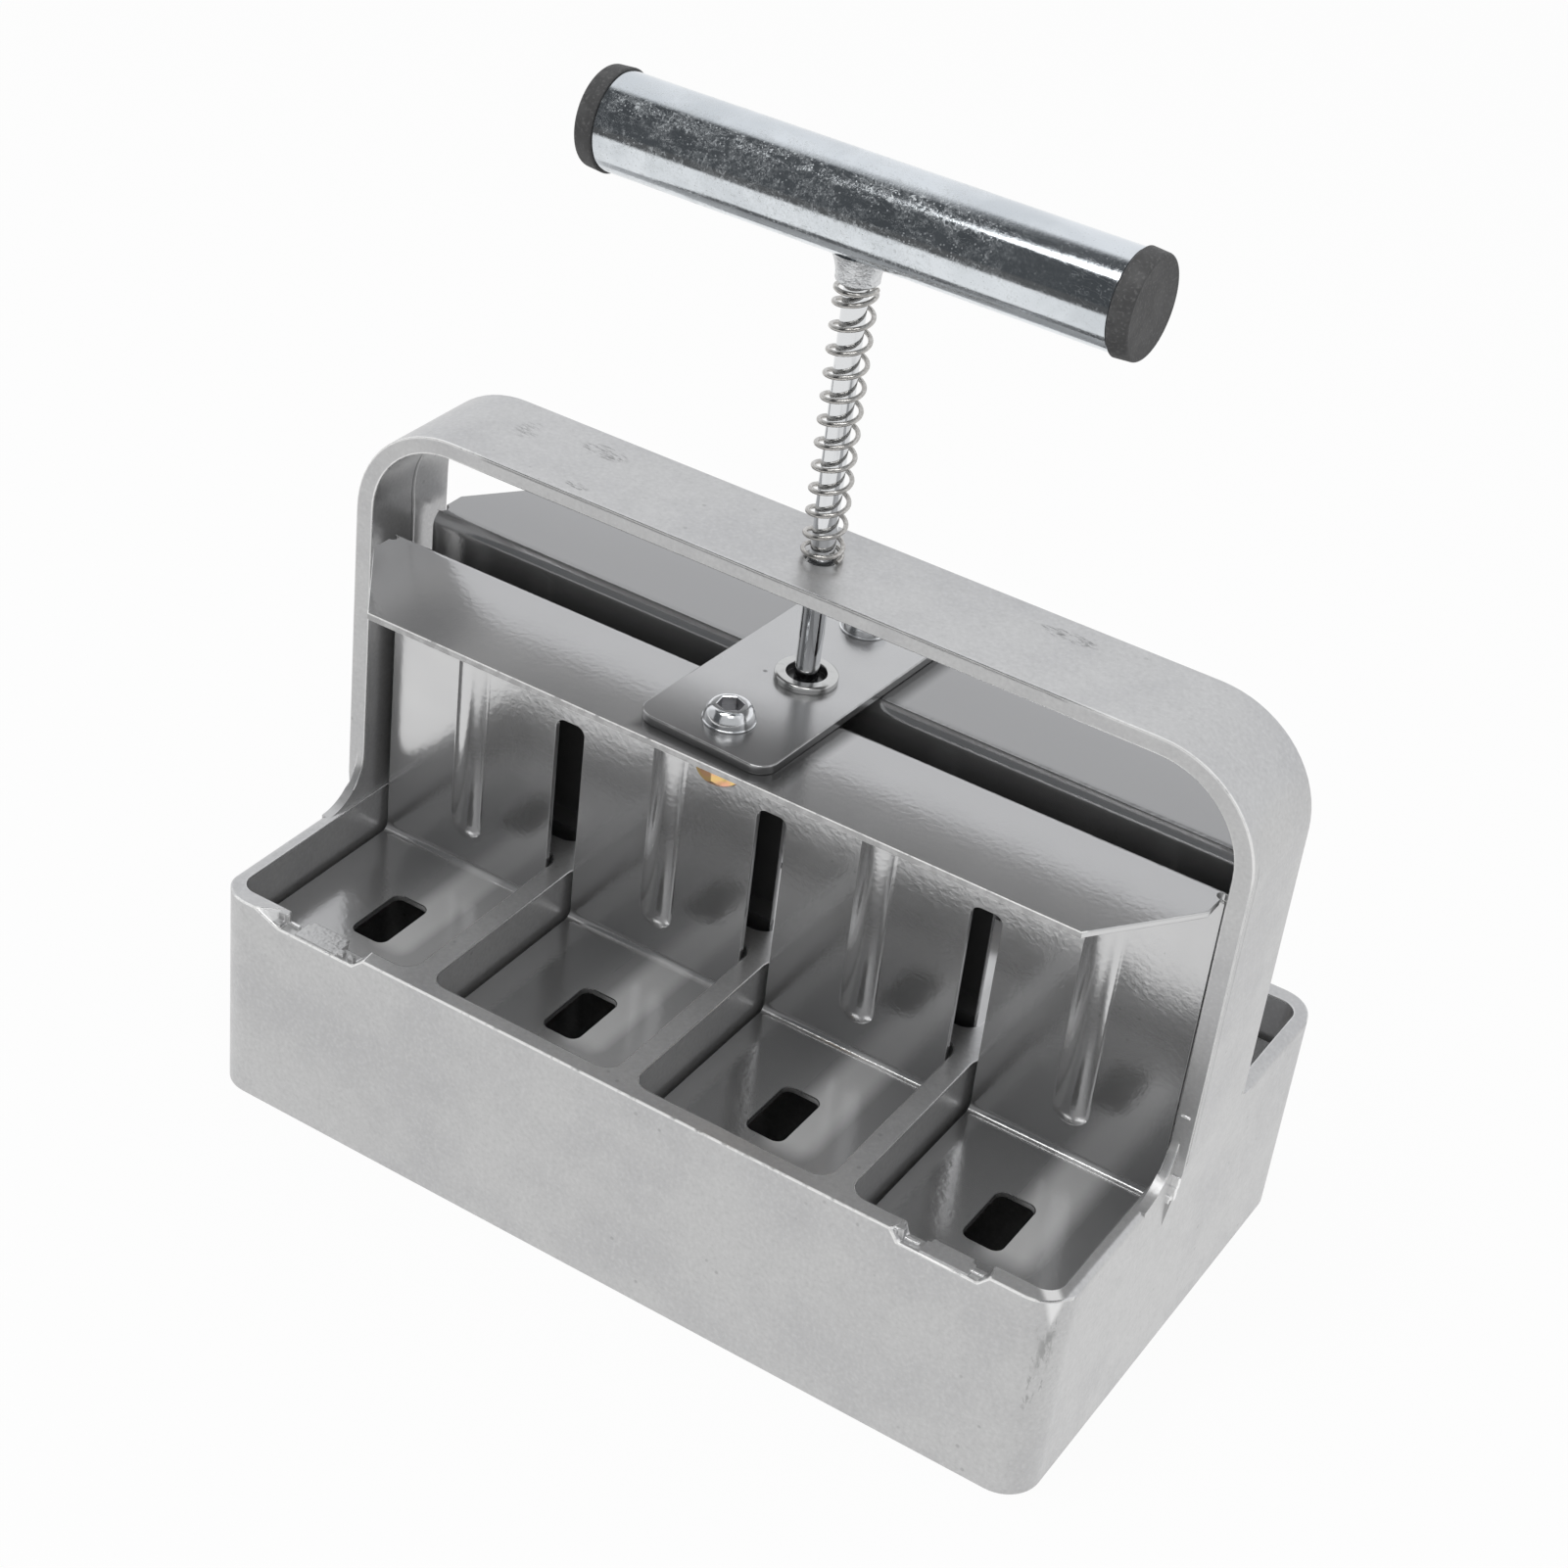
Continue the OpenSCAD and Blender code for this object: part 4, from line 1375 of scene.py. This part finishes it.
@dataclass
class Plunger:
    """The push rod with its foot ring, its fastening under the plate, and the return spring."""

    rod_r: float = 2.6
    rod_mid: float = 175.0
    rod_top: float = 225.0
    neck_r: float = 2.0
    neck_l: float = 8.0
    thread: float = 0.7
    thread_h: float = 0.25
    ring_r: float = 6.85
    ring_bore_r: float = 4.3
    ring_h: float = 1.8
    ring_ease: float = 0.7
    bore_ease: float = 0.45
    coil_r: float = 4.075
    wire_r: float = 0.525
    spring_low: float = 154.3
    spring_high: float = 215.2
    closed_pitch: float = 1.65
    open_curls: int = 11
    points_per_curl: int = 40
    squashed: float = 0.366
    anchor: float = 154.0

    def build(self) -> None:
        """Builds the rod, the ring, the neck's fastening and the spring."""
        dress(self.rod(), Body.PLUNGER, "push_rod")
        dress(self.ring(), Body.PLUNGER, "foot_ring")
        washer = ease(plain_copy("rod_washer", "neck_washer", NICKEL, NICKEL), 0.12, 40.0)
        dress(washer, Body.PLUNGER, "rod_washer")
        nut = ease(plain_copy("rod_nut", "neck_nut", YELLOW, YELLOW), 0.2, 40.0)
        dress(nut, Body.PLUNGER, "rod_nut")
        spring = self.spring()
        dress(spring, Body.MOULD, "return_spring")
        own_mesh(spring)

    def rod(self) -> Piece:
        """Builds the rod with its threaded neck and eased shoulder.

        Returns:
            The rod.
        """
        foot, neck, rod = PLATE_TOP - self.neck_l, self.neck_r, self.rod_r
        profile = [(neck - 0.6, foot), (neck - 0.1, foot + 0.5)]
        for i in range(int((self.neck_l - 1.2) / self.thread)):
            z = foot + 0.6 + i * self.thread
            profile += [(neck - self.thread_h, z), (neck, z + self.thread / 2)]
        profile += [(neck - 0.1, PLATE_TOP), (rod - 0.25, PLATE_TOP), (rod, PLATE_TOP + 0.25)]
        profile += [(rod, self.rod_mid), (rod, self.rod_top - 0.3), (rod - 0.3, self.rod_top)]
        piece = turned("chromed_rod", profile, 64, 30.0)
        coat(piece, ROD_CHROME)
        return piece

    def ring(self) -> Piece:
        """Builds the ring round the rod's foot, with its rounded upper edges and painted shade in its bore.

        Returns:
            The ring.
        """
        low, high, outer, inner = PLATE_TOP, PLATE_TOP + self.ring_h, self.ring_r, self.ring_bore_r
        profile = [(inner + 0.2, low), (outer - 0.25, low), (outer, low + 0.3)]
        profile += arc((outer - self.ring_ease, high - self.ring_ease), self.ring_ease, 0.0, 90.0, 8)
        profile += arc((inner + self.bore_ease, high - self.bore_ease), self.bore_ease, 90.0, 180.0, 6)
        piece = turned("nickel_ring", profile + [(inner, low + 0.2)], 96, 35.0, True)
        coat(piece, NICKEL, BORE_SHADE)
        with editing(piece):
            # Painted shade on the faces of the bore.
            use_finish(piece, 1, lambda at, way: way.x * at.x + way.y * at.y < 0.0 and abs(way.z) < 0.7)
        return piece

    def rise(self, curls: float) -> float:
        """Measures the wire's rise over its lowest ring.

        Args:
            curls: Number of curls from the lower end.

        Returns:
            The rise in millimetres.
        """
        closed = 2 * self.wire_r + 2 * self.closed_pitch
        open_pitch = (self.spring_high - self.spring_low - closed) / self.open_curls
        low = min(curls, 1.0) * self.closed_pitch
        middle = max(0.0, min(curls - 1.0, float(self.open_curls))) * open_pitch
        return low + middle + max(0.0, curls - 1.0 - self.open_curls) * self.closed_pitch

    def spring(self) -> Piece:
        """Winds one round wire into a spring with closed end curls.

        Returns:
            The spring.
        """
        curls = self.open_curls + 2
        path = bpy.data.curves.new("spring_path", "CURVE")
        path.dimensions = "3D"
        path.bevel_depth = self.wire_r * MM
        path.bevel_resolution = 4
        path.use_fill_caps = True
        count = curls * self.points_per_curl
        line = path.splines.new("POLY")
        line.points.add(count + 2)
        for i, point in enumerate(line.points):
            at = (i - 1) / self.points_per_curl
            inside = min(max(at, 0.0), float(curls))
            angle = 2 * math.pi * inside
            past = (at - inside) * self.points_per_curl * 1.05
            x = self.coil_r * math.cos(angle) - past * math.sin(angle)
            y = self.coil_r * math.sin(angle) + past * math.cos(angle)
            point.co = (x * MM, y * MM, (self.spring_low + self.wire_r + self.rise(inside)) * MM, 1.0)
        wire = bpy.data.objects.new("spring_wire", path)
        bpy.context.scene.collection.objects.link(wire)
        take(wire)
        bpy.ops.object.convert(target="MESH")
        piece = bpy.context.object
        bpy.ops.object.mode_set(mode="EDIT")
        tidy_mesh()
        smooth(piece, 50.0)
        coat(piece, WIRE)
        return piece


@dataclass
class Handle:
    """The plated tube on top of the rod, its weld and its two plastic caps."""

    axis_z: float = 230.7
    tube_r: float = 10.2
    wall: float = 1.5
    tube_l: float = 114.0
    tube_ease: float = 0.3
    cap_t: float = 4.3
    cap_r: float = 10.7
    cap_ease: float = 0.8
    plug_l: float = 12.0
    plug_wall: float = 2.0
    collar_low: float = 215.5
    collar_r: float = 4.5
    flare_r: float = 6.3
    bore_r: float = 2.65

    def build(self) -> None:
        """Builds the tube, the weld and the caps."""
        dress(self.tube(), Body.PLUNGER, "handle_tube")
        dress(self.weld(), Body.PLUNGER, "spring_collar")
        left = self.cap("left_plastic_cap")
        right = repeated(left)
        right.name = "right_plastic_cap"
        for cap, way, node in ((left, 1.0, "left_end_cap"), (right, -1.0, "right_end_cap")):
            seat(cap, (-way * self.tube_l / 2, 0.0, self.axis_z), (0.0, way * 90.0, 0.0))
            dress(cap, Body.PLUNGER, node)

    def tube(self) -> Piece:
        """Builds the tube with eased ends, lying along X.

        Returns:
            The tube.
        """
        half, inner, outer, soft = self.tube_l / 2, self.tube_r - self.wall, self.tube_r, self.tube_ease
        profile = [(inner, -half), (outer - soft, -half), (outer, soft - half), (outer, -half / 3), (outer, half / 3)]
        profile += [(outer, half - soft), (outer - soft, half), (inner, half)]
        piece = turned("zinc_tube", profile, 160, 30.0, True)
        seat(piece, (0.0, 0.0, self.axis_z), (0.0, 90.0, 0.0))
        coat(piece, TUBE_ZINC)
        return piece

    def weld(self) -> Piece:
        """Builds the collar that flares out under the tube as a weld does.

        Returns:
            The weld.
        """
        low, start, wide = self.collar_low, self.collar_r, self.flare_r - self.collar_r
        rise = self.axis_z - self.tube_r - low + 1.2
        flare = [(start + wide * (i / 12) ** 2.2, low + 0.5 + rise * (i / 12)) for i in range(13)]
        profile = [(self.bore_r, low), (start - 0.5, low)] + flare + [(self.bore_r, flare[-1][1])]
        piece = turned("weld_flare", profile, 64, 40.0, True)
        coat(piece, WELD)
        return piece

    def cap(self, name: str) -> Piece:
        """Builds one cap with its plug along +Z and the inner face of its rim on the floor.

        Args:
            name: The piece's name.

        Returns:
            The cap.
        """
        plug_r = self.tube_r - self.wall - 0.05
        inner, outer, thick, soft = plug_r - self.plug_wall, self.cap_r, self.cap_t, self.cap_ease
        profile = [(inner, 0.3), (inner, self.plug_l), (plug_r - 0.5, self.plug_l), (plug_r, self.plug_l - 0.8)]
        profile += [(plug_r, 0.0), (outer - 0.25, 0.0), (outer, -0.25)]
        profile += arc((outer - 0.25 - soft, soft - thick), soft, 0.0, -80.0, 7)
        profile += [(outer - 0.3 - 1.4 * soft, 0.12 - thick), (outer - 0.5 - 1.5 * soft, 0.12 - thick)]
        piece = turned(name, profile, 96, 32.0)
        coat(piece, PLASTIC)
        return piece


@dataclass
class Studio:
    """The pale floor, the white surround, the lamps and the camera."""

    floor_half: float = 3.0
    camera_at: Point = (0.25400, -0.47645, 0.46056)
    yaw: float = -0.4914
    pitch: float = -0.5926
    roll: float = -0.1285
    lens: float = 69.69
    shift: Flat = (-0.00233, 0.00164)
    lamps: tuple[tuple[str, Point, Flat, float], ...] = (
        ("left_softbox", (-0.21, -0.42, 1.43), (0.36, 0.75), 3.9),
        ("right_softbox", (0.45, -0.62, 1.43), (0.45, 0.45), 3.1),
    )
    lit: Point = (0.0, 0.0, 0.12)

    def build(self) -> None:
        """Sets up the whole studio."""
        self.floor()
        self.surround()
        for lamp in self.lamps:
            self.lamp(*lamp)
        self.camera()

    def floor(self) -> None:
        """Lays the floor: white to the camera but for the object's soft shadow, which is painted under its outline,
        and it ends in front for metal.
        """
        deselect()
        bpy.ops.mesh.primitive_plane_add(size=2 * self.floor_half)
        plane = bpy.context.object
        plane.name = "studio_floor"
        finish = bpy.data.materials.new("studio_white")
        tree = Tree(finish)
        x, y, _ = tree.axes(tree.place())
        # Painted shadow under the mould's outline: no glow there and a darker floor colour.
        under = x.within(-104.0, 104.0, 2.0) * y.within(-60.0, 60.0, 2.0) * (abs(x) + abs(y)).above(161.0, 157.0)
        straight, mirror = tree.rays()
        beyond = mirror * (1.0 - y.above(-680.0, -560.0))
        glow = tree.node("ShaderNodeEmission", {}, {"Color": tree.over(1.0, (0.12, beyond)), "Strength": 1.0})
        matt = tree.node("ShaderNodeBsdfDiffuse", {}, {"Color": tree.over(0.86, (0.22, beyond.most(under)))})
        seen = (straight * 0.94 + mirror) * (1.0 - under)
        tree.close(tree.node("ShaderNodeMixShader", {}, {0: seen, 1: matt["BSDF"], 2: glow["Emission"]})["Shader"])
        plane.data.materials.append(finish)

    def surround(self) -> None:
        """Sets the surround: white to the camera, even for soft light, and for metal a room that is dark above."""
        world = bpy.data.worlds.new("studio_surround")
        bpy.context.scene.world = world
        tree = Tree(world)
        straight, mirror = tree.rays()
        x, y, z = tree.axes(tree.node("ShaderNodeTexCoord")["Generated"])
        dark_left = y.above(0.12, -0.06) * x.within(-0.62, -0.2, 0.12)
        dark = z.above(0.86, 0.93).most(dark_left).most(y.above(0.1, -0.3) * 0.5)
        room = tree.over((0.97, 0.98, 1.0), ((0.085, 0.09, 0.095), dark))
        seen = tree.over(0.60, (room, mirror), (1.0, straight))
        glow = tree.node("ShaderNodeBackground", {}, {"Color": seen, "Strength": 1.0})["Background"]
        tree.node("ShaderNodeOutputWorld", {}, {"Surface": glow})
        world.cycles.sampling_method = "NONE"

    def lamp(self, name: str, at: Point, size: Flat, power: float) -> None:
        """Hangs one softbox that faces the object.

        Args:
            name: The lamp's name.
            at: Its place.
            size: Its length and width.
            power: Its power in watts.
        """
        light = bpy.data.lights.new(name, "AREA")
        light.shape = "RECTANGLE"
        light.size, light.size_y = size
        light.energy = power
        lamp = bpy.data.objects.new(name, light)
        bpy.context.scene.collection.objects.link(lamp)
        lamp.location = at
        lamp.rotation_euler = (Vector(self.lit) - Vector(at)).to_track_quat("-Z", "Y").to_euler()

    def camera(self) -> None:
        """Sets the camera where the photograph was taken from."""
        level_reach = math.cos(self.pitch)
        ahead = Vector((math.sin(self.yaw) * level_reach, math.cos(self.yaw) * level_reach, math.sin(self.pitch)))
        level = ahead.cross(Vector((0.0, 0.0, 1.0))).normalized()
        below = ahead.cross(level)
        right = math.cos(self.roll) * level + math.sin(self.roll) * below
        down = math.cos(self.roll) * below - math.sin(self.roll) * level
        optics = bpy.data.cameras.new("photo_camera")
        optics.lens = self.lens
        optics.sensor_width = 36.0
        optics.clip_start = 0.01
        optics.shift_x, optics.shift_y = self.shift
        camera = bpy.data.objects.new("photo_camera", optics)
        bpy.context.scene.collection.objects.link(camera)
        turn = Matrix((right, -down, -ahead)).transposed().to_4x4()
        camera.matrix_world = Matrix.Translation(Vector(self.camera_at)) @ turn
        bpy.context.scene.camera = camera


def main() -> None:
    """Builds the object's pieces in order, then the studio."""
    logging.basicConfig(level=logging.INFO, format="%(name)s: %(message)s")
    for group in (Casting(), Ejectors(), TiePlate(), Plunger(), Handle()):
        group.build()
        LOG.info("built %s", type(group).__name__)
    Studio().build()
    bpy.context.scene.view_settings.view_transform = "Standard"


if __name__ == "__main__":
    main()
